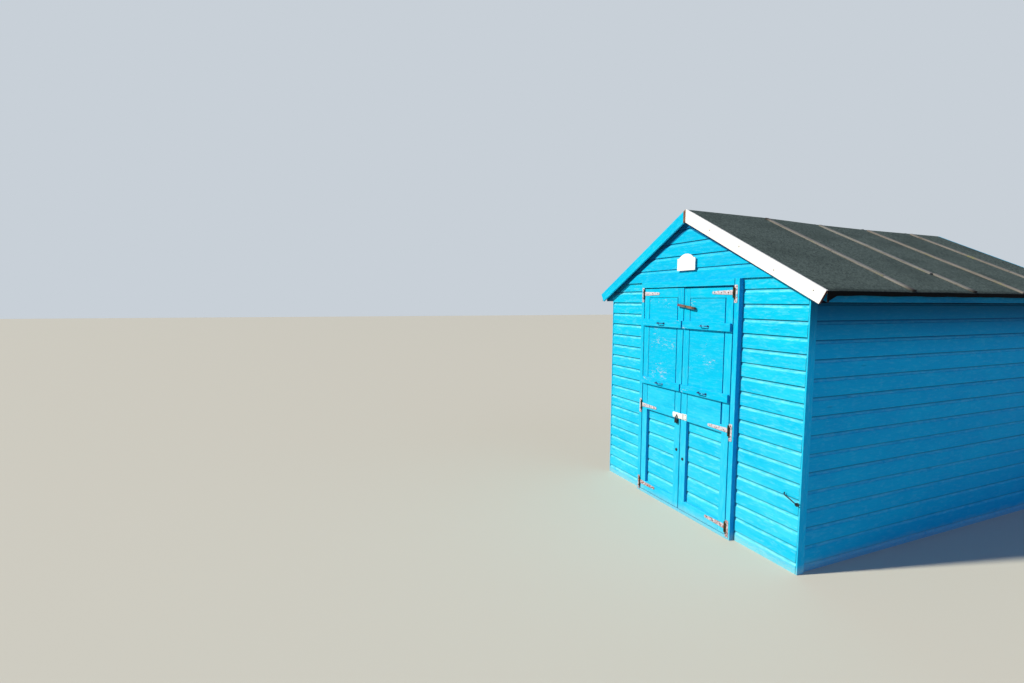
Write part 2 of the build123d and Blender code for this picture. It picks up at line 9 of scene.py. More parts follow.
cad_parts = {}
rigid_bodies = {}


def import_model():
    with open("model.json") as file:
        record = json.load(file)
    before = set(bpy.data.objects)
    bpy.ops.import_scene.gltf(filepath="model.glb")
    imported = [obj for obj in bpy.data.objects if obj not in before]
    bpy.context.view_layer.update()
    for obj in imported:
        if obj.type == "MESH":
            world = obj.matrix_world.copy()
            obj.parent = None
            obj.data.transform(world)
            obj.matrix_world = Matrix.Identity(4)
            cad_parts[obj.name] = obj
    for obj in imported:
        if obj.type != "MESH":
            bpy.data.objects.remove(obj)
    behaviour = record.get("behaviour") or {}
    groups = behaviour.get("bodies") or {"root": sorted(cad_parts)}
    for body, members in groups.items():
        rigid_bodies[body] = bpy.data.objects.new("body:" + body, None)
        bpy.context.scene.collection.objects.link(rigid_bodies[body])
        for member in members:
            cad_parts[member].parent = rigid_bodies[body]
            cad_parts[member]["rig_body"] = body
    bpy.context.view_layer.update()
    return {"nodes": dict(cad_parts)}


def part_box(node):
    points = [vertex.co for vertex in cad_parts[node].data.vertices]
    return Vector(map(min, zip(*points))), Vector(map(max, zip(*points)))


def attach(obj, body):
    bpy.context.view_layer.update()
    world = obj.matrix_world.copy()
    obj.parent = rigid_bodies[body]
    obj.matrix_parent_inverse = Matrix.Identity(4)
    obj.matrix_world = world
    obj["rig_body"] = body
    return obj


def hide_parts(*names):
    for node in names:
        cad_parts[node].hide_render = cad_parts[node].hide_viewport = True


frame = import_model()
scene = bpy.context.scene
noise.seed_set(1)      # unseeded, noise vectors differ from run to run
print("frame loaded")

# Places that the frame gives, in metres
front, frameFront = (corner.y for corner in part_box("right_front_wall"))
frameBack, back = (corner.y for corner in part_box("back_wall"))
wallInner, wallOuter = (corner.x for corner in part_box("right_wall"))
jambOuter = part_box("right_jamb")[1].x
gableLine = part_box("door_head")[1].z
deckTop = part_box("floor_deck")[1].z
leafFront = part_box("left_door_frame")[0].y
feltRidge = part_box("right_roof_felt")[1].z
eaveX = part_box("right_roof_felt")[1].x
vergeFront, vergeBack = (corner.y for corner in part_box("right_roof_felt"))
sides = ((1, "right"), (-1, "left"))

roof = {
    "pitch": math.radians(27.5),
    "bargePitch": math.radians(28.8),
    "feltTop": 0.0,        # each layer's top, square to the slope, below the felt's top
    "boardTop": 0.004,
    "rafterTop": 0.020,
    "rafterFoot": 0.090,
}
slope, slopeSin, slopeCos = (turn(roof["pitch"]) for turn in (math.tan, math.sin, math.cos))


def roofHeight(x, layer):
    return feltRidge - abs(x) * slope - roof[layer] / slopeCos


def linear(red, green, blue):
    parts = [c / 255 for c in (red, green, blue)]
    return [c / 12.92 if c <= 0.04045 else ((c + 0.055) / 1.055) ** 2.4 for c in parts] + [1.0]


# Shader helpers

def setInputs(made, inputs):
    for key, value in inputs.items():
        if isinstance(value, Field):
            made.id_data.links.new(value.socket, made.inputs[key])
        else:
            made.inputs[key].default_value = value


def put(tree, kind, inputs, output=0, **settings):
    made = tree.nodes.new(kind)
    for key, value in settings.items():
        setattr(made, key, value)
    setInputs(made, inputs)
    return Field(made.outputs[output])


# A socket that takes sums as a number does
class Field:
    def __init__(self, socket):
        self.socket, self.tree = socket, socket.id_data

    def math(self, operation, a, b=0.5, clamp=False):
        return put(self.tree, "ShaderNodeMath", {0: a, 1: b}, operation=operation, use_clamp=clamp)

    def __add__(self, other):
        return self.math("ADD", self, other)

    def __sub__(self, other):
        return self.math("SUBTRACT", self, other)

    def __rsub__(self, other):
        return self.math("SUBTRACT", other, self)

    def __mul__(self, other):
        return self.math("MULTIPLY", self, other)

    def __truediv__(self, other):
        return self.math("DIVIDE", self, other)

    def __abs__(self):
        return self.math("ABSOLUTE", self)

    def most(self, other):
        return self.math("MAXIMUM", self, other)

    def fade(self, low, high):
        return put(self.tree, "ShaderNodeMapRange", {"Value": self, "From Min": low, "From Max": high}, "Result",
                   interpolation_type="SMOOTHSTEP")

    def along(self, axis):
        return put(self.tree, "ShaderNodeSeparateXYZ", {0: self}, axis)

    def stretch(self, factors):
        return put(self.tree, "ShaderNodeVectorMath", {0: self, 1: factors}, operation="MULTIPLY")

    def cloud(self, factors, detail, roughness, distortion=0.0):
        factors = factors if isinstance(factors, tuple) else (factors,) * 3
        return put(self.tree, "ShaderNodeTexNoise", {"Vector": self.stretch(factors), "Scale": 1.0, "Detail": detail,
                   "Roughness": roughness, "Distortion": distortion}, "Fac")

    def bump(self, strength, distance, under={}):
        return put(self.tree, "ShaderNodeBump", {"Height": self, "Strength": strength, "Distance": distance} | under,
                   "Normal")


# Coats of colour over a first one, each with how much of it shows
def coats(colour, *layers):
    for share, over in layers:
        first, second = (linear(*c) if isinstance(c, tuple) else c for c in (colour, over))
        tree = share.tree if isinstance(share, Field) else first.tree
        colour = put(tree, "ShaderNodeMix", {0: share, 6: first, 7: second}, 2, data_type="RGBA")
    return colour


def startGroup(name, **inputs):
    group = bpy.data.node_groups.new(name, "ShaderNodeTree")
    for label, value in inputs.items():
        kind = {float: "Float", list: "Color"}.get(type(value), "Vector")
        socket = group.interface.new_socket(label, in_out="INPUT", socket_type="NodeSocket" + kind)
        if value is not None:
            socket.default_value = value
    given = group.nodes.new("NodeGroupInput").outputs
    return group, [Field(given[label]) for label in inputs]


def finishGroup(group, **results):
    for label, field in results.items():
        kind = "Color" if field.socket.type == "RGBA" else "Float"
        group.interface.new_socket(label, in_out="OUTPUT", socket_type="NodeSocket" + kind)
    setInputs(group.nodes.new("NodeGroupOutput"), results)
    return group


def useGroup(tree, group, **inputs):
    outputs = put(tree, "ShaderNodeGroup", inputs, node_tree=group).socket.node.outputs
    return {output.name: Field(output) for output in outputs}


# Timber grain along the first coordinate: broad streaks, fine fibre, growth lines and knots
def makeTimberGrain():
    group, (vector, knots) = startGroup("timberGrain", Vector=None, Knots=0.5)
    lines = put(group, "ShaderNodeTexWave", {"Vector": vector.stretch((0.5, 16, 16)), "Scale": 2.2, "Distortion": 7.0,
                "Detail": 3.0, "Detail Scale": 0.7}, "Fac", bands_direction="Y", wave_profile="SAW")
    cells = put(group, "ShaderNodeTexVoronoi", {"Vector": vector.stretch((1.9, 9, 9)), "Scale": 1.0}, "Distance")
    return finishGroup(group, Streak=vector.cloud((3.2, 58, 58), 6, 0.62, 0.5), Fibre=vector.cloud((9, 420, 420), 3, 0.6),
                       Lines=lines, Knot=(knots * 0.16 - cells).fade(0.0, 0.05))


# Where paint has rubbed or flaked off, in patches drawn out along the grain
def makePaintLoss():
    group, (vector, amount, size) = startGroup("paintLoss", Vector=None, Amount=0.2, Size=1.0)
    grown = put(group, "ShaderNodeVectorMath", {0: vector, "Scale": size}, operation="SCALE")
    both = grown.cloud((18, 110, 110), 7, 0.68, 0.4) * 0.6 + grown.cloud((3, 6, 6), 2, 0.5) * 0.4
    over = both - (0.72 - amount * 0.3)
    return finishGroup(group, Mask=over.fade(0.0, 0.012), Rim=over.fade(-0.012, 0.004))


# Corners and arrises where the finish has worn through
def makeEdgeWear():
    group, (vector, radius, amount) = startGroup("edgeWear", Vector=None, Radius=0.004, Amount=0.5)
    rounded = put(group, "ShaderNodeBevel", {"Radius": radius}, samples=4)
    flat = put(group, "ShaderNodeNewGeometry", {}, "Normal")
    turned = put(group, "ShaderNodeVectorMath", {0: rounded, 1: flat}, "Value", operation="DOT_PRODUCT")
    broken = turned.fade(0.995, 0.86) * vector.cloud((22, 60, 60), 6, 0.7)
    return finishGroup(group, Mask=(broken - (0.82 - amount * 0.5) * 0.6).fade(0.0, 0.05))


# Sand and splash that climb from the foot of the walls
def makeFootDirt():
    group, (vector, height, strength) = startGroup("footDirt", Vector=None, Height=0.35, Strength=0.5)
    ragged = vector.cloud((5, 5, 9), 5, 0.65)
    low = (vector.along("Z") / (height * (ragged + 0.35))).fade(1.0, 0.0)
    return finishGroup(group, Mask=low * strength * (ragged + 0.3), Speck=vector.cloud(260, 3, 0.7).fade(0.52, 0.6) * low)


# Rust that breaks out in spots
def makeRustBloom():
    group, (vector, amount, dark, light) = startGroup(
        "rustBloom", Vector=None, Amount=0.4, Dark=linear(70, 33, 20), Light=linear(150, 82, 45))
    fine = vector.cloud(600, 4, 0.7)
    over = vector.cloud(70, 8, 0.7, 0.3) + fine * 0.12 - (0.78 - amount * 0.5)
    return finishGroup(group, Mask=over.fade(0, 0.1), Colour=coats(dark, (fine.fade(0.35, 0.65), light)), Height=fine)


timberGrain = makeTimberGrain()
paintLoss = makePaintLoss()
edgeWear = makeEdgeWear()
footDirt = makeFootDirt()
rustBloom = makeRustBloom()


def startMaterial(name):
    made = bpy.data.materials.new(name)
    made.use_nodes = True
    tree = made.node_tree
    tree.nodes.clear()
    ends = tree.nodes.new("ShaderNodeOutputMaterial")
    shader = tree.nodes.new("ShaderNodeBsdfPrincipled")
    tree.links.new(shader.outputs[0], ends.inputs["Surface"])
    return made, tree, shader


def finishMaterial(made, shader, colour, roughness, gloss, normal, metal=0.0):
    setInputs(shader, {"Base Color": colour, "Roughness": roughness, "Specular IOR Level": gloss, "Normal": normal,
                       "Metallic": metal})
    return made


def layer(tree, name, output="Fac"):
    return put(tree, "ShaderNodeAttribute", {}, output, attribute_name=name)


def objectCoords(tree, output="Object"):
    return put(tree, "ShaderNodeTexCoord", {}, output)


# Brushed paint on timber, with scuffs to the undercoat, bare arrises and sand at the foot; painted shade in the board
# hollows, under the eaves and barges and on faces that look along +X, and a painted highlight on the boards' ledges
def paintedTimber(name, look):
    made, tree, shader = startMaterial(name)
    grain, place = layer(tree, "grain", "Vector"), objectCoords(tree)
    wood = useGroup(tree, timberGrain, Vector=grain, Knots=look["knots"])
    loss = useGroup(tree, paintLoss, Vector=grain, Amount=look["loss"], Size=look["lossSize"])
    edge = useGroup(tree, edgeWear, Vector=grain, Radius=look["edgeRadius"], Amount=look["edge"])["Mask"]
    dirt = useGroup(tree, footDirt, Vector=place, Height=look["dirtHeight"], Strength=look["dirt"])
    broad = grain.cloud((2.2, 7, 7), 4, 0.6)
    mottle = grain.cloud((13, 50, 50), 7, 0.72, 0.3)
    low = place.along("Z").fade(2.0, 0.2)
    colour = coats(look["deep"], (broad.fade(0.3, 0.7), look["colour"]), (layer(tree, "tint") * look["tint"], look["deep"]),
                   (low * broad.fade(0.2, 0.75) * look["bleach"], look["pale"]))
    plusXShadeMask = objectCoords(tree, "Normal").along("X").fade(0.75, 0.95) * look["sheltered"] if look["sheltered"] else None
    if plusXShadeMask:
        colour = coats(colour, (plusXShadeMask, look["shelter"]))
    under = coats(look["undercoat"], (grain.cloud((40, 300, 300), 4, 0.7).fade(0.4, 0.62), look["bare"]))
    colour = coats(colour, (wood["Streak"].fade(0.5, 0.72) * look["streaks"], look["pale"]),
                   (mottle.fade(0.48, 0.68) * look["mottle"], look["pale"]),
                   # ledge: paler paint on the scoops' upward faces, partly wear and partly a painted highlight
                   (layer(tree, "ledge") * mottle.fade(0.3, 0.6) * look["ledge"], look["pale"]),
                   (wood["Fibre"].fade(0.56, 0.66) * look["fibre"], look["shade"]),
                   (wood["Knot"] * look["knotShow"], look["shade"]), (loss["Mask"] * look["lossShow"], under),
                   # hollow: dirt and painted shade in the scoops under the board lips
                   (edge, look["worn"]), (layer(tree, "hollow") * look["hollow"], look["gap"]))
    # painted shadow under the eaves and barge boards, by the distance below the felt, and a near-black painted shadow
    # line just under the fascia
    if look["eavesShow"]:
        full, none = look["eaves"]
        belowFelt = feltRidge - abs(place.along("X")) * slope - place.along("Z")
        shaded = belowFelt.fade(none, full) * look["eavesShow"]
        colour = coats(colour, (shaded * plusXShadeMask if plusXShadeMask else shaded, look["gap"]),
                       (belowFelt.fade(look["lip"] + 0.006, look["lip"]), look["lipColour"]))
    colour = coats(colour, (dirt["Mask"], look["sand"]), (dirt["Speck"] * 0.55, look["sand"]))
    rough = loss["Mask"].most(edge).most(dirt["Mask"]) * 0.3 + look["rough"]
    rough = rough.math("ADD", rough, (wood["Streak"] - 0.5) * 0.25, clamp=True)
    relief = wood["Lines"] * 0.35 + wood["Fibre"] * 0.5 + wood["Streak"] * 0.6
    normal = (1.0 - loss["Rim"]).bump(0.55, 0.0005, {"Normal": relief.bump(look["relief"], 0.0011)})
    return finishMaterial(made, shader, colour, rough, look["gloss"], normal)


bluePaint = dict(
    colour=(0, 192, 228), deep=(0, 180, 224), pale=(150, 230, 240), worn=(84, 208, 234), shade=(0, 126, 180),
    # gap: the deep navy of the painted shade in hollows and under the eaves and barges
    gap=(0, 44, 92), undercoat=(214, 210, 218), bare=(196, 168, 166), sand=(205, 190, 165), tint=0.5, streaks=0.06,
    mottle=0.22, ledge=0.42, hollow=0.9, bleach=0.13, fibre=0.20, knots=0.55, knotShow=0.4,
    sheltered=0.0, shelter=(0, 128, 214),      # painted shade on the sides that look along +X
    eaves=(0.0, 0.001), eavesShow=0.0, lip=0.0, lipColour=(0, 14, 36),      # shadow, by the distance below the felt
    loss=0.10, lossSize=1.0, lossShow=0.4, edge=0.18, edgeRadius=0.004, dirt=0.18, dirtHeight=0.12,
    rough=0.7, gloss=0.06, relief=0.55)
# front boards and gable: a painted shadow band under the barge boards
paintedBoards = paintedTimber("paintedBoards", bluePaint | dict(eaves=(0.118, 0.128), eavesShow=0.72))
gablePaint = paintedTimber("gablePaint", bluePaint | dict(
    colour=(0, 184, 226), deep=(0, 172, 221), mottle=0.12, ledge=0.12, streaks=0.05, loss=0.04, bleach=0.0,
    hollow=0.6, gap=(0, 40, 112), eaves=(0.118, 0.128), eavesShow=0.76))
# Side and back walls: a deeper blue that paints shade on the walls the key light barely reaches, with a painted shadow
# under the eaves
shadeLook = bluePaint | dict(
    colour=(0, 172, 226), deep=(0, 162, 221), mottle=0.08, ledge=0.15, streaks=0.03, loss=0.0, edge=0.1, bleach=0.0,
    eaves=(0.14, 0.62), eavesShow=0.8)
sidePaint = paintedTimber("sidePaint", shadeLook | dict(lip=0.168))
backPaint = paintedTimber("backPaint", shadeLook)
joineryLook = bluePaint | dict(
    colour=(0, 188, 227), deep=(0, 176, 222), knots=0.3, relief=0.4, loss=0.06, edge=0.22, tint=0.3, mottle=0.12,
    bleach=0.12)
paintedJoinery = paintedTimber("paintedJoinery", joineryLook)
# jambs, leaf frames and shutters: painted shade on their +X sides
doorPaint = paintedTimber("doorPaint", joineryLook | dict(sheltered=0.7))
cornerPaint = paintedTimber("cornerPaint", joineryLook | dict(
    sheltered=1.0, shelter=(0, 176, 232), eaves=(0.14, 0.62), eavesShow=0.75))
# A much darker blue that paints the shade under the felt's edge, on the fascias and the rafter tails
fasciaPaint = paintedTimber("fasciaPaint", bluePaint | dict(
    colour=(0, 128, 168), deep=(0, 104, 148), mottle=0.05, streaks=0.0, loss=0.0, edge=0.0, bleach=0.0))
paintedShutters = paintedTimber("paintedShutters", joineryLook | dict(
    colour=(0, 186, 228), knots=0.2, relief=0.45, loss=0.42, lossShow=0.48, lossSize=1.05, edge=0.16, streaks=0.08,
    bleach=0.0, sheltered=0.7))
whitePaint = paintedTimber("whitePaint", bluePaint | dict(
    colour=(240, 236, 236), deep=(226, 222, 224), pale=(248, 246, 246), shade=(206, 196, 196), gap=(90, 84, 84),
    undercoat=(214, 200, 200), bare=(150, 124, 116), worn=(204, 184, 184), tint=0.2, streaks=0.2, fibre=0.22,
    knotShow=0.25, loss=0.06, edge=0.3, relief=0.4))


# Colours that change along a piece, each with the X where it is full
def coloursAlong(place, stops):
    x = place.along("X") + (place.cloud((60, 60, 160), 4, 0.7) * 0.03 - 0.015)
    return coats(stops[0][1], *[(x.fade(before[0], stop[0]), stop[1]) for before, stop in zip(stops, stops[1:])])


# Bare timber, sawn or worn
def bareTimber(name, look):
    made, tree, shader = startMaterial(name)
    grain, place = layer(tree, "grain", "Vector"), objectCoords(tree)
    wood = useGroup(tree, timberGrain, Vector=grain, Knots=look["knots"])
    dirt = useGroup(tree, footDirt, Vector=place, Height=look["dirtHeight"], Strength=look["dirt"])
    colour = coats(look["dark"], (wood["Streak"].fade(0.3, 0.72), look["pale"]), (wood["Lines"] * look["lines"], look["dark"]),
                   (layer(tree, "tint") * look["tint"], look["other"]))
    if "along" in look:
        colour = coats(colour, (0.75, coloursAlong(place, look["along"])))
    ragged = place.cloud(90, 5, 0.7).fade(0.42, 0.58)
    colour = coats(colour, (wood["Fibre"].fade(0.55, 0.66) * look["cracks"], look["crackColour"]),
                   (wood["Knot"], look["knot"]), (layer(tree, "moss") * ragged, look["moss"]),
                   (dirt["Mask"], look["sand"]), (layer(tree, "tar"), look["tar"]))
    relief = (wood["Lines"] * 0.4 + wood["Fibre"]).bump(look["relief"], 0.0012)
    return finishMaterial(made, shader, colour, wood["Streak"] * 0.25 + 0.68, 0.25, relief)


bareLook = dict(
    pale=(198, 168, 126), dark=(158, 122, 82), other=(176, 150, 118), tint=0.6, lines=0.35, cracks=0.35,
    crackColour=(110, 80, 54), knots=0.7, knot=(104, 66, 38), moss=(128, 132, 52), tar=(22, 20, 20),
    sand=(196, 180, 152), dirt=0.2, dirtHeight=0.2, relief=0.5)
frameTimber = bareTimber("frameTimber", bareLook)
floorTimber = bareTimber("floorTimber", bareLook | dict(
    pale=(172, 146, 114), dark=(128, 100, 72), other=(150, 132, 108), dirt=0.5, dirtHeight=0.22))
greyTimber = bareTimber("greyTimber", bareLook | dict(
    pale=(148, 147, 146), dark=(112, 109, 106), other=(122, 112, 108), cracks=0.75, crackColour=(62, 56, 54),
    knot=(96, 84, 72), knots=0.4, relief=0.9, dirt=0.0))
buttonTimber = bareTimber("buttonTimber", bareLook | dict(
    pale=(186, 160, 150), dark=(120, 86, 92), other=(96, 60, 70), cracks=0.8, crackColour=(60, 42, 44), relief=0.9,
    dirt=0.0, along=[(-0.060, (96, 26, 84)), (-0.020, (128, 84, 92)), (0.045, (96, 96, 66)), (0.110, (136, 88, 56)),
                     (0.150, (26, 18, 18))]))
brownTimber = bareTimber("brownTimber", bareLook | dict(
    pale=(150, 108, 84), dark=(92, 58, 48), other=(120, 76, 62), cracks=0.6, crackColour=(52, 34, 32), dirt=0.0))
# End grain, darker than bare wood: it paints the shade on the barge and fascia ends
endTimber = bareTimber("endTimber", bareLook | dict(
    pale=(96, 56, 58), dark=(52, 30, 34), other=(74, 40, 44), cracks=0.6, crackColour=(30, 18, 20), dirt=0.0))

feltPaint = dict(dark=(60, 70, 67), pale=(115, 127, 121), patch=(66, 76, 72), worn=(38, 42, 44), coarse=(34, 42, 44),
                 tar=(8, 8, 9))


# Mineral felt: grey-green grit on black bitumen, black on its cut edges
def makeRoofFelt():
    made, tree, shader = startMaterial("roofFelt")
    place, look, tar = objectCoords(tree), feltPaint, layer(tree, "tar")
    grit = place.cloud(520, 3, 0.75)
    colour = coats(look["dark"], (grit.fade(0.32, 0.68), look["pale"]),
                   (place.cloud((3.0, 1.6, 3.0), 5, 0.6).fade(0.42, 0.66) * 0.5, look["patch"]),
                   (place.cloud((40, 34, 40), 6, 0.7).fade(0.58, 0.7) * 0.6, look["worn"]),
                   (place.cloud((62, 48, 62), 5, 0.85).fade(0.46, 0.58) * 0.7, look["coarse"]), (tar, look["tar"]))
    return finishMaterial(made, shader, colour, 0.95 - tar * 0.1, 0.08, grit.bump(0.7, 0.0012))


# Metal with old paint, zinc and rust
def weatheredMetal(name, look):
    made, tree, shader = startMaterial(name)
    place = objectCoords(tree)
    amount = place.along("Z").fade(0.30, 0.16) * look["lowRust"] + look["rust"]
    rust = useGroup(tree, rustBloom, Vector=place, Amount=amount, Dark=linear(*look["rustDark"]),
                    Light=linear(*look["rustLight"]))
    edge = useGroup(tree, edgeWear, Vector=place, Radius=0.0025, Amount=look["edge"])["Mask"]
    paint = place.cloud(34, 6, 0.66).fade(look["paintLow"], look["paintLow"] + 0.05)
    colour = coats(look["dark"], (place.cloud(160, 4, 0.6), look["pale"]), (paint, look["paint"]),
                   (edge * 0.7, look["dark"]), (rust["Mask"], rust["Colour"]))
    covered = rust["Mask"].most(paint)
    relief = (rust["Mask"] * 0.6 + rust["Height"] * 0.3).bump(0.5, 0.0006)
    return finishMaterial(made, shader, colour, covered * 0.3 + look["rough"], 0.5, relief,
                          (1.0 - covered) * look["metal"])


roofFelt = makeRoofFelt()
zincLook = dict(
    pale=(250, 246, 248), dark=(158, 148, 178), paint=(96, 182, 222), paintLow=0.56, rust=0.42, lowRust=0.16,
    rustDark=(96, 52, 50), rustLight=(196, 140, 134), edge=0.4, metal=0.25, rough=0.5)
oldZinc = weatheredMetal("oldZinc", zincLook)
haspZinc = weatheredMetal("haspZinc", zincLook | dict(
    pale=(250, 250, 250), dark=(222, 222, 224), rust=0.24, paintLow=0.9, metal=0.1))
darkIron = weatheredMetal("darkIron", zincLook | dict(
    pale=(58, 52, 48), dark=(26, 24, 25), rust=0.40, rustDark=(40, 26, 22), rustLight=(84, 52, 40), paintLow=0.95,
    metal=0.4, rough=0.6))
pinIron = weatheredMetal("pinIron", zincLook | dict(
    pale=(54, 66, 60), dark=(18, 24, 24), rustDark=(40, 28, 22), rustLight=(110, 84, 50), paintLow=0.7, metal=0.4,
    rough=0.55))
handleZinc = weatheredMetal("handleZinc", zincLook | dict(
    pale=(62, 66, 138), dark=(14, 26, 64), rust=0.20, rustDark=(30, 34, 70), rustLight=(120, 120, 170), metal=0.2))
lockIron = weatheredMetal("lockIron", zincLook | dict(
    pale=(40, 42, 50), dark=(12, 14, 20), rust=0.30, rustDark=(26, 22, 26), rustLight=(78, 66, 66), paintLow=0.95,
    metal=0.3))
print("materials ready")


# Mesh helpers

def keepLayers(bm):
    bm.verts.layers.float_vector.get("grain") or bm.verts.layers.float_vector.new("grain")
    for name in ("moss", "tar", "hollow", "ledge"):
        bm.verts.layers.float.get(name) or bm.verts.layers.float.new(name)
    bm.faces.layers.float.get("tint") or bm.faces.layers.float.new("tint")


def startPiece(seed=0):
    bm = bmesh.new()
    keepLayers(bm)
    return bm, random.Random(seed)


def turned(degrees, axis):
    return Matrix.Rotation(math.radians(degrees), 4, axis)


def shift(part, step):
    bmesh.ops.translate(part, vec=step, verts=part.verts)


def place(part, matrix):
    bmesh.ops.transform(part, matrix=matrix, verts=part.verts)


# The grain runs along the first axis of toGrain, and each stick of timber has its own stretch of the pattern
def setGrain(part, toGrain, rng):
    keepLayers(part)
    layer = part.verts.layers.float_vector["grain"]
    tintLayer = part.faces.layers.float["tint"]
    start = Vector((rng.uniform(0, 40), rng.uniform(0, 9), rng.uniform(0, 9)))
    shade = rng.random()
    for vert in part.verts:
        vert[layer] = toGrain @ vert.co + start
    for face in part.faces:
        face[tintLayer] = shade


def giveMaterial(part, number):
    for face in part.faces:
        face.material_index = number


def addPart(target, part):
    keepLayers(part)
    mesh = bpy.data.meshes.new("part")
    part.to_mesh(mesh)
    target.from_mesh(mesh)
    bpy.data.meshes.remove(mesh)
    part.free()


def cut(part, point, normal, clear=False):
    everything = part.verts[:] + part.edges[:] + part.faces[:]
    bmesh.ops.bisect_plane(part, geom=everything, dist=1e-6, plane_co=point, plane_no=normal, clear_outer=clear)


def cutAway(part, point, normal):
    cut(part, point, normal, True)
    rim = [edge for edge in part.edges if edge.is_boundary]
    if rim:
        bmesh.ops.holes_fill(part, edges=rim, sides=0)


def crossCut(part, axis, step):
    along = [vert.co[axis] for vert in part.verts]
    low, high = min(along), max(along)
    count = max(1, round((high - low) / step))
    normal = Vector([float(i == axis) for i in range(3)])
    for i in range(1, count):
        cut(part, normal * (low + (high - low) * i / count), normal)


def warp(part, axis, amount, rng, pace=0.9):
    start = Vector([rng.uniform(0, 90) for i in range(3)])
    for vert in part.verts:
        sway = noise.noise_vector(start + Vector((vert.co[axis] * pace, 0, 0))) * amount
        sway[axis] = 0
        vert.co += sway


def soften(part, width, segments=2):
    sharp = [e for e in part.edges if e.is_manifold and e.calc_face_angle(0.0) > math.radians(30)]
    if sharp:
        bmesh.ops.bevel(part, geom=sharp, offset=width, offset_type="OFFSET", segments=segments, profile=0.5,
                        affect="EDGES", material=-1, clamp_overlap=True)


def block(size, middle, bevel, segments=2, cuts=()):
    part = bmesh.new()
    bmesh.ops.create_cube(part, size=1.0)
    bmesh.ops.scale(part, vec=size, verts=part.verts)
    shift(part, middle)
    for plane in cuts:
        cutAway(part, *plane)
    soften(part, bevel, segments)
    return part


toGrain = {
    "x": Matrix.Identity(4),
    "y": turned(-90, "Z"),
    "z": turned(90, "Y"),
    "rightSlope": Matrix.Rotation(-roof["bargePitch"], 4, "Y"),
    "leftSlope": Matrix.Rotation(roof["bargePitch"], 4, "Y"),
}
plankLook = {"bevel": 0.0015, "bow": 0.0006, "step": 0.4}


# A stick of sawn timber between two opposite corners
def plank(target, start, end, axis, rng, bevel=plankLook["bevel"], cuts=()):
    low, high = (Vector([pick(pair) for pair in zip(start, end)]) for pick in (min, max))
    part = block(high - low, (low + high) / 2, bevel, cuts=cuts)
    number = "xyz".index(axis)
    crossCut(part, number, plankLook["step"])
    warp(part, number, plankLook["bow"], rng)
    setGrain(part, toGrain[axis], rng)
    addPart(target, part)


def finishPiece(name, bm, materials, node, smooth=None):
    mesh = bpy.data.meshes.new(name)
    bmesh.ops.recalc_face_normals(bm, faces=bm.faces)
    bm.to_mesh(mesh)
    bm.free()
    for material in materials if isinstance(materials, list) else [materials]:
        mesh.materials.append(material)
    if smooth:
        mesh.shade_smooth()
        mesh.set_sharp_from_angle(angle=math.radians(smooth))
    piece = bpy.data.objects.new(name, mesh)
    scene.collection.objects.link(piece)
    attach(piece, frame["nodes"][node]["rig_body"])
    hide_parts(node)


# The solids of a node in the mesh's own order, each as the numbers of its vertices
def looseParts(bm):
    seen, groups = set(), []
    for first in bm.verts:
        if first.index in seen:
            continue
        found, rim = set(), [first]
        while rim:
            vert = rim.pop()
            if vert.index not in found:
                found.add(vert.index)
                rim += [edge.other_vert(vert) for edge in vert.link_edges]
        seen |= found
        groups.append(found)
    return groups


# A CAD node's own solids with softened arrises, a little bow and the grain along each piece
def dressedCopy(name, node, material, axis, bevel=0.002, bow=0.0, seed=1, smooth=None, extras=None):
    source = bmesh.new()
    source.from_mesh(frame["nodes"][node].data)
    bmesh.ops.remove_doubles(source, verts=source.verts, dist=1e-5)
    bmesh.ops.dissolve_limit(source, angle_limit=math.radians(0.5), verts=source.verts, edges=source.edges)
    source.verts.index_update()
    target, rng = startPiece(seed)
    for group in looseParts(source):
        part = source.copy()
        spare = [vert for vert in part.verts if vert.index not in group]
        bmesh.ops.delete(part, geom=spare, context="VERTS")
        soften(part, bevel)
        middle = sum(vert.co.x for vert in part.verts) / len(part.verts)
        way = {"slope": "rightSlope" if middle > 0 else "leftSlope"}.get(axis, axis)
        if bow:
            number = max(0, "xyz".find(axis))
            crossCut(part, number, 0.25)
            warp(part, number, bow, rng)
        setGrain(part, toGrain[way], rng)
        addPart(target, part)
    source.free()
    if extras:
        extras(target, rng)
    finishPiece(name, target, material, node, smooth)


# Cuts a piece at each plane and gives what lies past it another of its materials
def refinish(material, *planes):
    def change(target, rng):
        for point, normal in planes:
            cut(target, point, normal)
            for face in target.faces:
                if (face.calc_center_median() - Vector(point)).dot(Vector(normal)) > 0:
                    face.material_index = material
    return change


# Overlapping shiplap boards

shiplap = {
    "thickness": 0.020,
    "thin": 0.018,               # under this a board has a shallower scoop
    "lipThickness": 0.009,
    "scoopHeight": 0.031,
    "scoopDepth": 0.0095,
    "scoopStart": math.radians(24),
    "scoopSteps": 6,
    "hollowShares": (0, 0, 0, 0, 0.12, 0.5, 1),      # how dark each step of the scoop is, up to the lip above: dirt and painted shade under the lip
    "ledgeShares": (0, 0.8, 1, 1, 0.8, 0.2, 0),      # how pale each step is: worn paint and a painted highlight where the scoop faces up
    "tongueBehind": 0.0007,
    "overlap": 0.011,
    "rebateGap": 0.001,
    "footEdge": (0.0011, 0.0014),
    "endGap": (0.0008, 0.004),   # board ends stop this far short of the trim
    "sway": 0.0011,
    "nailRadius": 0.0034,
    "nailHeight": 0.0007,
    "frontCover": 0.117,
    "frontTopLine": 2.077,
    "gableLines": (2.161, 2.277, 2.397, 2.516, 2.636),
    "topCover": 0.12,
    "sideCover": 0.137,
    "sideTopLine": 1.980,
}


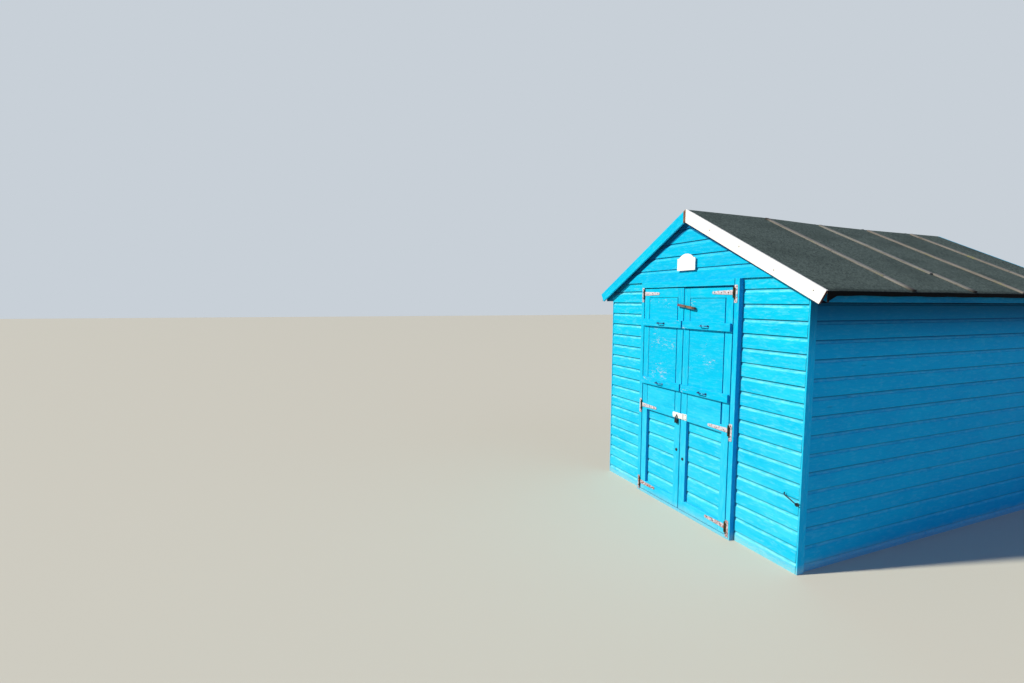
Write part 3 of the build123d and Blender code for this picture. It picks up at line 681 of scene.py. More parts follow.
def shiplapBoard(cover, length, rng, thick=shiplap["thickness"]):
    look, square = shiplap, math.radians(90)
    scoop, lip = (look[key] * min(1, thick / look["thin"]) for key in ("scoopDepth", "lipThickness"))
    start, steps, height = look["scoopStart"], look["scoopSteps"], look["scoopHeight"]
    points = [(look["footEdge"][0], 0.0, 0.5, 0), (0.0, look["footEdge"][1], 0, 0), (0.0, cover - height, 0, 0)]
    for i in range(1, steps + 1):
        turn = start + (square - start) * i / steps
        inward = (math.sin(turn) - math.sin(start)) / (1 - math.sin(start))
        upward = (math.cos(start) - math.cos(turn)) / math.cos(start)
        points.append((scoop * inward, cover - height * (1 - upward), look["hollowShares"][i], look["ledgeShares"][i]))
    top, rebate = cover + look["overlap"], look["overlap"] + look["rebateGap"]
    behind = [(scoop + look["tongueBehind"], top), (thick, top), (thick, rebate), (lip, rebate), (lip, 0.0)]
    part = startPiece()[0]
    layers = part.verts.layers.float
    verts = []
    for y, z, hollow, ledge in points + [(y, z, 1, 0) for y, z in behind]:
        vert = part.verts.new((0, y, z))
        vert[layers["hollow"]], vert[layers["ledge"]] = hollow, ledge
        verts.append(vert)
    grown = bmesh.ops.extrude_face_region(part, geom=[part.faces.new(verts)])["geom"]
    bmesh.ops.translate(part, vec=(length, 0, 0), verts=[g for g in grown if isinstance(g, bmesh.types.BMVert)])
    long = [e for e in part.edges if abs(e.verts[0].co.x - e.verts[1].co.x) > length / 2]
    bmesh.ops.subdivide_edges(part, edges=long, cuts=max(1, round(length / 0.22)), use_grid_fill=True)
    bmesh.ops.recalc_face_normals(part, faces=part.faces)
    for face in part.faces:
        face.material_index = int(face.calc_center_median().y > lip + 0.0005 and face.normal.y > -0.5)
    warp(part, 0, look["sway"], rng)
    shift(part, (0, rng.uniform(0.0011, 0.0016), 0))
    return part


# Flat-topped nail heads under the paint
def nailHeads(part, places):
    radius = shiplap["nailRadius"]
    for at in places:
        made = bmesh.ops.create_cone(part, cap_ends=True, segments=8, radius1=radius * 0.7, radius2=radius,
                                     depth=shiplap["nailHeight"], matrix=Matrix.Translation(at) @ turned(90, "X"))
        for vert in made["verts"]:
            for face in vert.link_faces:
                face.material_index = 0


# A wall of boards in its own frame: along it, into it, up. onHut puts it in its place
def boardedWall(name, node, paint, onHut, length, lines, covers, seed, cuts, studs, backing=None):
    target, rng = startPiece(seed)
    for line, cover in zip(lines, covers):
        gaps = [rng.uniform(*shiplap["endGap"]) for i in range(2)]
        part = shiplapBoard(cover, length - sum(gaps), rng)
        shift(part, (gaps[0], 0, line + rng.uniform(-0.001, 0.001)))
        nailHeads(part, [(x + rng.uniform(-0.006, 0.006), 0.0011, line + 0.026 + rng.uniform(-0.003, 0.003))
                         for x in studs])
        place(part, onHut)
        for plane in cuts:
            cutAway(part, *plane)
        if part.verts:
            setGrain(part, onHut.inverted(), rng)
            addPart(target, part)
    if backing:
        backing(target, rng)
    finishPiece(name, target, [paint, frameTimber], node)


def linesDown(top, cover):
    lines = [top]
    while lines[-1] > 0:
        lines.append(lines[-1] - cover)
    return lines


# The roof's two planes at one of its layers, through the line at x
def roofPlanes(x, layer):
    return [(Vector((side * x, 0, roofHeight(x, layer))), Vector((side * slopeSin, 0, slopeCos))) for side in (1, -1)]


ground = (Vector((0, 0, 0)), Vector((0, 0, -1)))
roofCuts = roofPlanes(0, "rafterTop")
studPlaces = {"spacing": 0.39, "width": 0.045, "depth": 0.070, "gable": (-0.78, -0.39, 0.0, 0.39, 0.78), "back": 1.0855}
wide, deep = studPlaces["width"], studPlaces["depth"]


def evenPlaces(first, last):
    count = math.ceil((last - first) / studPlaces["spacing"] - 1e-6)
    return [first + (last - first) * i / count for i in range(count + 1)]


def makeWalls():
    look = shiplap
    lines, width = linesDown(look["frontTopLine"], look["frontCover"]), wallOuter - jambOuter
    below = (Vector((0, 0, gableLine)), Vector((0, 0, 1)))
    for side, word in sides:
        onHut = Matrix.Translation((jambOuter if side > 0 else -wallOuter, front, 0))
        boardedWall(word + "FrontBoards", word + "_front_wall", paintedBoards, onHut, width, lines,
                    [look["frontCover"]] * len(lines), 10 + side, [ground, below] + roofCuts,
                    [0.022, width / 2, width - 0.03])
    lines, face, past = look["gableLines"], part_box("front_gable")[0].y, 0.02
    packing = frameFront - face - look["thickness"]

    def packers(target, rng):
        for x in studPlaces["gable"]:
            plank(target, (x - wide / 2, frameFront - packing, gableLine), (x + wide / 2, frameFront, feltRidge), "z", rng,
                  cuts=roofCuts)

    boardedWall("gableBoards", "front_gable", gablePaint, Matrix.Translation((-wallOuter - past, face, 0)),
                2 * wallOuter + 2 * past, lines, [b - a for a, b in zip(lines, lines[1:])] + [look["topCover"]], 21, roofCuts,
                [wallOuter + past + x for x in studPlaces["gable"]], packers)
    cover, top = look["sideCover"], look["sideTopLine"]
    lines, depth = linesDown(top, cover), frameBack - frameFront
    studs = [x + wide / 2 for x in evenPlaces(0, depth - wide)]
    corners = {"right": ((wallOuter, frameFront, 0), 90, 31), "left": ((-wallOuter, frameBack, 0), -90, 32)}
    for word, (corner, turn, seed) in corners.items():
        boardedWall(word + "SideBoards", word + "_wall", sidePaint, Matrix.Translation(corner) @ turned(turn, "Z"), depth,
                    lines, [cover] * len(lines), seed, [ground] + roofCuts, studs)
    lines = [top + cover * i for i in range(6, 0, -1)] + lines
    half = studPlaces["back"]
    boardedWall("backBoards", "back_wall", backPaint, Matrix.Translation((wallOuter, back, 0)) @ turned(180, "Z"),
                2 * wallOuter, lines, [cover] * len(lines), 41, [ground] + roofCuts,
                [wallOuter + x for x in evenPlaces(-half, 0)[:-1] + evenPlaces(0, half)])
    print("walls boarded")


# Studs, plates and braces behind the boards

def makeFrames():
    inner, y1 = wallInner - deep, frameFront + deep
    sideTop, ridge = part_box("right_side_frame")[1].z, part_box("ridge_beam")[0].z
    stopX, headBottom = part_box("right_front_frame")[0].x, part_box("lintel")[0].z
    for side, word in sides:
        target, rng = startPiece(50 + side)
        x0, x1 = side * inner, side * wallInner
        for foot in (deckTop, sideTop - wide):
            plank(target, (x0, frameFront, foot), (x1, frameBack, foot + wide), "y", rng)
        for y in evenPlaces(frameFront, frameBack - wide):
            plank(target, (x0, y, deckTop + wide), (x1, y + wide, sideTop - wide), "z", rng)
        finishPiece(word + "SideStuds", target, frameTimber, word + "_side_frame")
        target, rng = startPiece(60 + side)
        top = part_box(word + "_front_frame")[1].z - wide
        for foot in (deckTop, top):
            plank(target, (side * stopX, frameFront, foot), (x0, y1, foot + wide), "x", rng)
        for x in evenPlaces(stopX, inner - wide):
            plank(target, (side * x, frameFront, deckTop + wide), (side * (x + wide), y1, top), "z", rng)
        finishPiece(word + "FrontStuds", target, frameTimber, word + "_front_frame")
    target, rng = startPiece(70)
    under = roofPlanes(wallInner, "rafterFoot")
    plank(target, (-inner, frameFront, headBottom), (inner, y1, gableLine), "x", rng, cuts=under)
    for x in studPlaces["gable"]:
        plank(target, (x - wide / 2, frameFront, gableLine), (x + wide / 2, y1, ridge), "z", rng, cuts=under)
    finishPiece("lintelAndStuds", target, frameTimber, "lintel")
    target, rng = startPiece(80)
    y0 = frameBack - deep
    plank(target, (-inner, y0, deckTop), (inner, frameBack, deckTop + wide), "x", rng)
    plank(target, (-inner, y0, sideTop - wide), (inner, frameBack, sideTop), "x", rng, cuts=under)
    half = evenPlaces(0, inner - wide / 2)
    for x in [-place for place in half[1:]] + half:
        plank(target, (x - wide / 2, y0, deckTop + wide), (x + wide / 2, frameBack, sideTop - wide), "z", rng)
        plank(target, (x - wide / 2, y0, sideTop), (x + wide / 2, frameBack, ridge), "z", rng, cuts=under)
    finishPiece("backStuds", target, frameTimber, "back_frame")
    dressedCopy("joists", "floor_joists", frameTimber, "y", seed=81)
    dressedCopy("ridgeBeam", "ridge_beam", frameTimber, "y", seed=82)
    # rafter tails outside the walls take the darker blue that paints the shade under the eaves
    tails = refinish(1, *[((side * wallOuter, 0, 0), (side, 0, 0)) for side in (1, -1)])
    for seed, word in ((83, "right"), (84, "left")):
        dressedCopy(word + "Rafters", word + "_rafters", [frameTimber, fasciaPaint], "slope", seed=seed, extras=tails)


floorLook = {"boards": 30, "halfGap": 0.0008, "uneven": 0.0006}


def makeFloor():
    target, rng = startPiece(90)
    low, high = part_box("floor_deck")
    step = (high.y - low.y) / floorLook["boards"]
    gap = floorLook["halfGap"]
    for i in range(floorLook["boards"]):
        y = low.y + step * i
        top = high.z - rng.uniform(0, floorLook["uneven"])
        plank(target, (low.x, y + gap, low.z), (high.x, y + step - gap, top), "x", rng)
    finishPiece("floorBoards", target, floorTimber, "floor_deck")
    print("frames and floor ready")


# Roof: boards, felt and battens

roofBoardLook = {"count": 13, "gap": 0.0012, "thickness": 0.016, "eaveGap": 0.004, "bevel": 0.0012}
feltLook = {
    "acrossSteps": 70,
    "alongSteps": 130,
    "thickness": 0.0034,
    "puff": 0.0045,          # how far it lifts between the battens
    "ripple": 0.0016,
    "calmEdge": 0.12,
    "calmBatten": (0.03, 0.16),
    "turnDown": 0.0272,
    "wander": 0.0045,         # of the turned-down edge
    "cornerDrop": 0.040,      # the folded front corners hang lower
    "cornerLength": 0.090,
    "bend": 0.006,
    "ridgeLift": [(-1.871, 0.040), (-0.944, 0.031), (-0.199, 0.010), (0.546, 0.0)],   # the felt rides up towards the front
    "battenLines": [0.885, 1.63, 2.375, 3.12],   # from the front boards' face
}


def ridgeLift(x, y):
    stops = feltLook["ridgeLift"]
    share = 1 - min(1.0, abs(x) / eaveX)
    if y <= stops[0][0]:
        return stops[0][1] * share
    for (y0, a), (y1, b) in zip(stops, stops[1:]):
        if y <= y1:
            return (a + (b - a) * (y - y0) / (y1 - y0)) * share
    return stops[-1][1] * share


def slopeFrame(side, layer):
    onHut = Matrix.Translation((0, 0, roofHeight(0, layer))) @ Matrix.Rotation(roof["pitch"], 4, "Y")
    return onHut if side > 0 else Matrix.Scale(-1, 4, (1, 0, 0)) @ onHut


def makeRoofBoards(side, word):
    look = roofBoardLook
    target, rng = startPiece(100 + side)
    step = (eaveX - look["eaveGap"]) / slopeCos / look["count"]
    size = (step - look["gap"], vergeBack - vergeFront, look["thickness"])
    for i in range(look["count"]):
        part = block(size, (step * (i + 0.5), (vergeBack + vergeFront) / 2, -look["thickness"] / 2), look["bevel"])
        crossCut(part, 1, 0.5)
        place(part, slopeFrame(side, "boardTop"))
        cutAway(part, Vector((0, 0, 0)), Vector((-side, 0, 0)))
        setGrain(part, toGrain["y"], rng)
        addPart(target, part)
    finishPiece(word + "RoofBoards", target, frameTimber, word + "_roof_deck")


def makeFelt(side, word):
    look = feltLook
    target, rng = startPiece(110 + side)
    bend, across = look["bend"], look["acrossSteps"]
    run = eaveX / slopeCos - bend
    # the felt's line from ridge to edge: how far out, how far up, and how free each place is to lift
    line = [(s * slopeCos, -s * slopeSin, 1.0) for s in (run * i / across for i in range(across + 1))]
    edgeX, edgeZ = line[-1][:2]
    for turn in (20, 40, 62.5):
        angle = roof["pitch"] + math.radians(turn)
        line.append((edgeX + bend * (math.sin(angle) - slopeSin), edgeZ - bend * (slopeCos - math.cos(angle)), 0.2))
    edgeX, edgeZ = min(eaveX, line[-1][0]), line[-1][1]
    line += [(edgeX, edgeZ - look["turnDown"] * share, 0.0) for share in (0.4, 0.75, 1.0)]
    last = len(line) - 1
    tar = target.verts.layers.float["tar"]
    bmesh.ops.create_grid(target, x_segments=last, y_segments=look["alongSteps"], size=0.5)
    start = Vector((rng.uniform(0, 50), rng.uniform(0, 50), 0))
    top = roofHeight(0, "feltTop")
    nearest, farthest = look["calmBatten"]
    for vert in target.verts:
        column = round((vert.co.x + 0.5) * last)
        x, z, free = line[column]
        y = vergeFront + (vert.co.y + 0.5) * (vergeBack - vergeFront)
        fromEdge = min(y - vergeFront, vergeBack - y, x + 0.02, 1.0)
        calm = min(1.0, max(0.0, fromEdge / look["calmEdge"])) * free
        gap = min(abs(y - front - at) for at in look["battenLines"])
        calm *= min(1.0, max(0.0, (gap - nearest) / farthest))
        lift = noise.noise(start + Vector((x * 1.3, y * 1.1, 0))) * 0.5 + 0.5
        fine = noise.noise(start + Vector((x * 9, y * 7, 4)))
        rise = calm * (look["puff"] * lift + look["ripple"] * max(0.0, fine))
        hang = max(0, column - (last - 3)) / 3
        corner = max(0.0, 1 - (y - vergeFront) / look["cornerLength"])
        wander = (noise.noise(start + Vector((0, y * 6, 9))) * look["wander"] - corner * look["cornerDrop"]) * hang
        vert.co = (side * (x + rise * slopeSin), y, top + z + rise * slopeCos + wander + ridgeLift(x, y))
        if column > last - 8:
            vert[tar] = 1.0 if column > last - 5 else 0.4
    bmesh.ops.recalc_face_normals(target, faces=target.faces)
    if target.faces[:][len(target.faces) // 3].normal.z < 0:
        bmesh.ops.reverse_faces(target, faces=target.faces)
    bmesh.ops.solidify(target, geom=target.faces[:], thickness=look["thickness"])
    finishPiece(word + "Felt", target, roofFelt, word + "_roof_felt", 40)


# Strips of bare timber over the felt, some of them spliced, with moss and black ends
battenLook = {
    "splices": {0: (0.805, 1.285), 1: (1.19,), 3: (1.05,)},     # batten number: how far down the slope its joints are
    "shift": {1: 0.034},                         # how far back the last length lies
    "moss": {3: (0.62, 0.72)},
    "blackEnds": {0: (0.05, 0.06), 1: (0.0, 0.06)},
    "width": 0.040,
    "thickness": 0.015,
    "start": {1: 0.032, -1: 0.006},              # from the ridge line, level
    "spliceGap": 0.003,
    "bevel": 0.0018,
    "bow": 0.0012,
}


def makeBattens():
    target, rng = startPiece(120)
    look = battenLook
    thickness = look["thickness"]
    last = (eaveX - thickness * slopeSin) / slopeCos
    for side in (1, -1):
        for number, line in enumerate(feltLook["battenLines"]):
            ends = [look["start"][side] / slopeCos + rng.uniform(0, 0.008), last - rng.uniform(0, 0.004)]
            stops = [ends[0], *look["splices"].get(number if side > 0 else number + 1, ()), ends[1]]
            black = look["blackEnds"].get(number, (0, 0)) if side > 0 else (0, 0)
            reach = look["moss"].get(number) if side > 0 else None
            for a, b in zip(stops, stops[1:]):
                back = look["shift"].get(number, 0) if side > 0 and b == ends[1] else 0
                size = (b - a - look["spliceGap"], look["width"] - 2 * rng.uniform(0, 0.001),
                        thickness - rng.uniform(0, 0.0015))
                middle = ((a + b) / 2, front + line + back + rng.uniform(-0.0012, 0.0012), thickness / 2 - 0.0004)
                part = block(size, middle, look["bevel"])
                crossCut(part, 0, 0.07)
                warp(part, 0, look["bow"], rng, 3.0)
                setGrain(part, toGrain["x"], rng)
                moss, tar = part.verts.layers.float["moss"], part.verts.layers.float["tar"]
                for vert in part.verts:
                    if reach and reach[0] < vert.co.x < reach[1]:
                        vert[moss] = 1.0
                    elif reach is None and rng.random() < 0.04:
                        vert[moss] = 0.5
                    if vert.co.x < ends[0] + black[0] or vert.co.x > ends[1] - black[1]:
                        vert[tar] = 1.0
                place(part, slopeFrame(side, "feltTop"))
                for vert in part.verts:
                    vert.co.z += ridgeLift(vert.co.x, vert.co.y)
                if side < 0:
                    bmesh.ops.reverse_faces(part, faces=part.faces)
                addPart(target, part)
    finishPiece("feltBattens", target, greyTimber, "roof_battens")


def makeRoof():
    for side, word in sides:
        makeRoofBoards(side, word)
        makeFelt(side, word)
    makeBattens()
    print("roof ready")


# Trim: jambs, head, sill, corners, fascias, barge boards

bargeLook = {
    "nails": ((0.30, 0.060), (0.62, 0.052), (0.95, 0.072), (1.27, 0.050)),   # x, and how far below the top edge
    "nailRadius": 0.004,
    "bareTop": 0.028,
    "leftDepth": 0.091,
    "bevel": 0.0025,
}


# The faces that look one way get another of the piece's materials
def dressEnd(target, way, material):
    for face in target.faces:
        if face.normal.dot(Vector(way)) > 0.9:
            face.material_index = material


def makeTrim():
    lean = roof["bargePitch"]
    dressedCopy("rightJamb", "right_jamb", doorPaint, "z", bow=0.0006, seed=131)
    dressedCopy("leftJamb", "left_jamb", doorPaint, "z", bow=0.0006, seed=132)
    dressedCopy("doorHead", "door_head", paintedJoinery, "x", seed=133)
    dressedCopy("doorSill", "door_sill", paintedJoinery, "x", seed=134)
    dressedCopy("cornerBoards", "corner_boards", cornerPaint, "z", bow=0.0008, seed=135)
    # the fascias' front ends take the dark end grain, which paints the shade behind the barge's foot
    dressedCopy("eavesFascias", "eaves_fascias", [fasciaPaint, endTimber], "y", bow=0.0012, seed=136,
                extras=lambda target, rng: dressEnd(target, (0, -1, 0), 1))

    def rightEnd(target, rng):
        face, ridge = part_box("right_barge_board")[0].y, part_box("right_barge_board")[1].z
        for x, down in bargeLook["nails"]:
            boltHead(target, (x, face - 0.0006, ridge - x * math.tan(lean) - down), bargeLook["nailRadius"])
        # the barge's lower end takes the dark end grain, which paints the shade on it
        dressEnd(target, (math.cos(lean), 0, -math.sin(lean)), 2)

    def leftEnd(target, rng):
        normal = Vector((math.sin(lean), 0, -math.cos(lean)))
        top = Vector((0, 0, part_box("left_barge_board")[1].z))
        cutAway(target, top + normal * bargeLook["leftDepth"], normal)
        # the lower end takes the dark end grain, which paints the shade on it
        dressEnd(target, (-math.cos(lean), 0, -math.sin(lean)), 2)
        refinish(3, ((-bargeLook["bareTop"], 0, 0), (1, 0, 0)))(target, rng)

    boards = (("rightBarge", "right_barge_board", [whitePaint, darkIron, endTimber], rightEnd),
              ("leftBarge", "left_barge_board", [paintedJoinery, darkIron, endTimber, brownTimber], leftEnd),
              ("backBarges", "back_barge_boards", paintedJoinery, None))
    for number, (name, node, paint, extras) in enumerate(boards):
        dressedCopy(name, node, paint, "slope", bevel=bargeLook["bevel"], seed=137 + number, extras=extras)
    dressedCopy("signPlate", "sign_plate", whitePaint, "x", bevel=0.0012, seed=140)
    print("trim ready")


# Door leaves

leafLook = {
    "stile": 0.075,
    "cover": 0.140,
    "boardThickness": 0.016,
    "infillLine": 0.787,
    "bottomRail": 0.090,
    "middleRail": (0.882, 0.950),
    "topRail": 0.085,
    "stileThickness": 0.029,
    "stileBevel": 0.0022,
    "sheetBevel": 0.001,
    "railBevel": 0.003,
    "panelRecess": 0.002,
    "shutterRecess": 0.003,
    "shutterRail": 0.068,
    "shutterRailProud": 0.023,
    "railEnd": 0.004,
    "shutterBottoms": (1.145, 1.731),
    "gap": 0.003,
    "shutterGap": 0.012,
    "panelGap": {1: (0.003, 0.018), -1: (0.009, 0.003)},
    "headGap": {1: 0.009, -1: 0.002},
    "meetingGap": 0.0018,
    "bevelFall": 0.0024,
}


def mirrorLeaf(part, side):
    if side < 0:
        place(part, Matrix.Scale(-1, 4, (1, 0, 0)))
        bmesh.ops.reverse_faces(part, faces=part.faces)


def makeLeaf(side, word):
    look = leafLook
    low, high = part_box(word + "_door_boards")
    outer = max(abs(low.x), abs(high.x))
    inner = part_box("right_door_frame")[0].x + look["meetingGap"]
    bottom, top = low.z, high.z - look["headGap"][side]
    lean = math.atan(look["bevelFall"] / (front - leafFront))
    meeting = (Vector((inner, leafFront, 0)), Vector((-math.cos(lean), -math.sin(lean), 0)))
    # boards behind the frame, overlapping where they show below the middle rail
    target, rng = startPiece(150 + side)
    cover, infill = look["cover"], look["infillLine"]
    for line in [infill + cover * i for i in range(9, 0, -1)] + linesDown(infill, cover):
        part = shiplapBoard(cover, outer - inner, rng, look["boardThickness"])
        shift(part, (0, 0, line))
        shift(part, (inner, low.y, 0))
        for point, normal in (((0, 0, bottom), (0, 0, -1)), ((0, 0, top), (0, 0, 1)), ((0, front, 0), (0, 1, 0)), meeting):
            if part.verts:
                cutAway(part, point, normal)
        if part.verts:
            setGrain(part, toGrain["x"], rng)
            mirrorLeaf(part, side)
            addPart(target, part)
    finishPiece(word + "LeafBoards", target, [paintedBoards, frameTimber], word + "_door_boards")
    # stiles and rails
    target, rng = startPiece(160 + side)
    y0, y1 = leafFront, leafFront + look["stileThickness"]
    x0, x1 = inner + look["stile"], outer - look["stile"]
    mid0, mid1 = look["middleRail"]
    parts = startPiece()[0]
    plank(parts, (inner - 0.001, y0, bottom), (x0, y1, top), "z", rng, look["stileBevel"], [meeting])
    plank(parts, (x1, y0, bottom), (outer, y1, top), "z", rng, look["stileBevel"])
    for z0, z1 in ((bottom, bottom + look["bottomRail"]), (mid0, mid1), (top - look["topRail"], top)):
        plank(parts, (x0, y0, z0), (x1, y1, z1), "x", rng, look["stileBevel"])
    gaps, recess = look["panelGap"][side], look["panelRecess"]
    plank(parts, (x0 + gaps[0], y0 + recess, mid1), (x1 - gaps[1], y1 - recess, look["shutterBottoms"][0] - look["gap"]),
          "x", rng, look["sheetBevel"])
    mirrorLeaf(parts, side)
    addPart(target, parts)
    if side > 0:
        buttonScrew(target)
    finishPiece(word + "LeafFrame", target, [doorPaint, darkIron], word + "_door_frame")
    # shutters
    target, rng = startPiece(170 + side)
    parts = startPiece()[0]
    gap, recessed, end = look["gap"], y0 + look["shutterRecess"], look["railEnd"]
    gaps = (gap, look["shutterGap"])[::side]
    for foot, head in zip(look["shutterBottoms"], (look["shutterBottoms"][1], top - look["topRail"])):
        railTop = foot + look["shutterRail"]
        plank(parts, (x0 + gaps[0], recessed, foot), (x1 - gaps[1], y1, head - gap), "x", rng, look["sheetBevel"])
        plank(parts, (inner + end, y0 - look["shutterRailProud"], foot), (outer - end, y0, railTop), "x", rng,
              look["railBevel"])
        plank(parts, (x0 + gap, y0, foot), (x1 - gap, recessed, railTop), "x", rng, look["sheetBevel"])
    mirrorLeaf(parts, side)
    addPart(target, parts)
    finishPiece(word + "Shutters", target, paintedShutters, word + "_shutters")


# Ironmongery

screwLook = {"sunk": 0.0045, "sides": 14, "foot": 0.62, "height": 0.42, "rim": 0.16, "rise": 0.1}    # shares of the radius


def screwHead(target, x, z, radius, rng):
    look = screwLook
    part = bmesh.new()
    bmesh.ops.create_cone(part, cap_ends=True, segments=look["sides"], radius1=radius * look["foot"], radius2=radius,
                          depth=radius * look["height"])
    top = [f for f in part.faces if f.normal.z < -0.9]
    bmesh.ops.inset_region(part, faces=top, thickness=radius * look["rim"], depth=0.0)
    bmesh.ops.translate(part, vec=(0, 0, radius * look["rise"]), verts=list({v for f in top for v in f.verts}))
    giveMaterial(part, 1)
    turn = Matrix.Rotation(rng.uniform(0, 3), 4, "Y")
    place(part, Matrix.Translation((x, leafFront - look["sunk"], z)) @ turn @ turned(-90, "X"))
    addPart(target, part)


# Domed head of a bolt, nail or screw
def boltHead(target, at, radius, height=0.6):
    part = bmesh.new()
    bmesh.ops.create_uvsphere(part, u_segments=16, v_segments=8, radius=radius)
    bmesh.ops.scale(part, vec=(1, height, 1), verts=part.verts)
    shift(part, at)
    cutAway(part, at, (0, 1, 0))
    giveMaterial(part, 1)
    addPart(target, part)


# A round bar, started at a point and then driven forward and round bends
class Bar:
    def __init__(self, at, heading, diameter, sides=12):
        self.bm = startPiece()[0]
        self.at, self.heading = Vector(at), Vector(heading).normalized()
        turn = Vector((0, 0, 1)).rotation_difference(self.heading).to_matrix().to_4x4()
        bmesh.ops.create_circle(self.bm, cap_ends=False, radius=diameter / 2, segments=sides,
                                matrix=Matrix.Translation(self.at) @ turn)
        self.ring = self.bm.edges[:]
        self.first = self.ring[:]

    def go(self, distance, steps=1):
        for i in range(steps):
            grown = bmesh.ops.extrude_edge_only(self.bm, edges=self.ring)["geom"]
            verts = [g for g in grown if isinstance(g, bmesh.types.BMVert)]
            self.ring = [g for g in grown if isinstance(g, bmesh.types.BMEdge) and all(v in verts for v in g.verts)]
            bmesh.ops.translate(self.bm, vec=self.heading * (distance / steps), verts=verts)
        self.at = self.at + self.heading * distance
        return self

    def bend(self, axis, degrees, radius, steps=6):
        axis = Vector(axis).normalized()
        centre = self.at + axis.cross(self.heading).normalized() * radius
        geom = self.ring + list({v for e in self.ring for v in e.verts})
        last = bmesh.ops.spin(self.bm, geom=geom, cent=centre, axis=axis, angle=math.radians(degrees), steps=steps,
                              use_duplicate=False)["geom_last"]
        self.ring = [g for g in last if isinstance(g, bmesh.types.BMEdge)]
        turn = Matrix.Rotation(math.radians(degrees), 3, axis)
        self.at = centre + turn @ (self.at - centre)
        self.heading = turn @ self.heading
        return self

    def done(self, target, material=0):
        for ring in (self.first, self.ring):
            bmesh.ops.holes_fill(self.bm, edges=ring, sides=0)
        bmesh.ops.recalc_face_normals(self.bm, faces=self.bm.faces)
        giveMaterial(self.bm, material)
        addPart(target, self.bm)


buttonLook = {"pivotX": 0.047, "pivotZ": 1.929, "screw": 0.008, "collar": 0.0045, "head": 0.014, "dome": 0.42,
              "slim": 0.66, "lean": -8}


def buttonScrew(target):
    look = buttonLook
    at = (look["pivotX"], leafFront, look["pivotZ"])
    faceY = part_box("turn_button")[0].y - 0.0005
    Bar(at, (0, -1, 0), look["head"]).go(look["collar"]).done(target, 1)
    Bar(at, (0, -1, 0), look["screw"]).go(leafFront - faceY).done(target, 1)
    boltHead(target, (look["pivotX"], faceY, look["pivotZ"]), look["head"] / 2, look["dome"])


# The button is worn slimmer than its block
def slimButton(target, rng):
    look = buttonLook
    centre = Vector((look["pivotX"], 0, look["pivotZ"]))
    turn = turned(look["lean"], "Y")
    shift(target, -centre)
    place(target, turn.inverted() @ Matrix.Scale(look["slim"], 4, (0, 0, 1)) @ turn)
    shift(target, centre)


hingeLook = {
    "heights": (0.101, 0.916, 2.050),
    "plateDrop": 0.012,
    "pinFromEdge": 0.036,
    "pinReach": 0.0085,
    "darkHalf": (0.019, 0.046),      # the plates' middles beside the pins: dark iron that also paints the knuckles' shadow on the plates
    "strapScrews": (0.372, 0.445, 0.522),
    "plateScrews": ((0.021, 0.058), (0.021, -0.058), (0.026, 0.032), (0.026, -0.032)),
    "screwRadii": (0.0052, 0.0048),
    "bevel": 0.0009,
}


def makeHinges():
    look = hingeLook
    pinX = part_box("hinge_plates")[1].x - look["pinFromEdge"]
    middles = [z - look["plateDrop"] for z in look["heights"]]
    darkX, darkZ = pinX + look["darkHalf"][0], look["darkHalf"][1]

    def darkPins(target):
        for face in target.faces:
            at = face.calc_center_median()
            if abs(abs(at.x) - pinX) < look["pinReach"] and at.y < leafFront - 0.0015:
                face.material_index = 2

    def strapScrews(side):
        def add(target, rng):
            for z in look["heights"]:
                for x in look["strapScrews"]:
                    screwHead(target, side * x, z + rng.uniform(-0.004, 0.004), look["screwRadii"][0], rng)
            darkPins(target)
        return add

    def plateScrews(target, rng):
        for x in (darkX, -darkX):
            cut(target, (x, 0, 0), (1, 0, 0))
        for level in [z + step for z in middles for step in (-darkZ, darkZ)]:
            cut(target, (0, 0, level), (0, 0, 1))
        # the plates' middles take the dark pin iron: rust and a painted shadow of the knuckles
        for face in target.faces:
            at = face.calc_center_median()
            if abs(at.x) < darkX and min(abs(at.z - z) for z in middles) < darkZ:
                face.material_index = 2
        for side in (1, -1):
            for z in middles:
                for dx, dz in look["plateScrews"]:
                    screwHead(target, side * (pinX + dx), z + dz, look["screwRadii"][1], rng)
        darkPins(target)

    metals = [oldZinc, darkIron, pinIron]
    for side, word in sides:
        dressedCopy(word + "HingeStraps", word + "_hinge_straps", metals, "x", bevel=look["bevel"], seed=180 + side,
                    smooth=35, extras=strapScrews(side))
    dressedCopy("hingePlates", "hinge_plates", metals, "z", bevel=look["bevel"], seed=183, smooth=35, extras=plateScrews)


handleLook = {"length": 0.105, "reach": 0.026, "bar": 0.008, "bend": 0.012, "foot": (0.020, 0.003, 0.015), "x": 0.2868,
              "heights": (1.179, 1.765)}


def makeHandle(target, x, z):
    look = handleLook
    half = (look["length"] - look["foot"][0]) / 2
    face = leafFront - leafLook["shutterRailProud"]
    straight = look["reach"] - look["bend"]
    bar = Bar((x - half, face, z), (0, -1, 0), look["bar"]).go(straight).bend((0, 0, 1), 90, look["bend"])
    bar.go(2 * (half - look["bend"]), 2).bend((0, 0, 1), 90, look["bend"]).go(straight).done(target)
    for foot in (x - half, x + half):
        addPart(target, block(look["foot"], (foot, face - look["foot"][1] / 2, z), 0.0009))


haspLook = {
    "plateLength": 0.050,
    "screws": ((0.018, 0.018), (0.018, -0.018), (0.038, 0.018), (0.038, -0.018)),
    "screwRadius": 0.0045,
    "bolts": ((-0.041, 0.587), (0.044, 0.519)),
    "boltRadius": 0.0145,
}


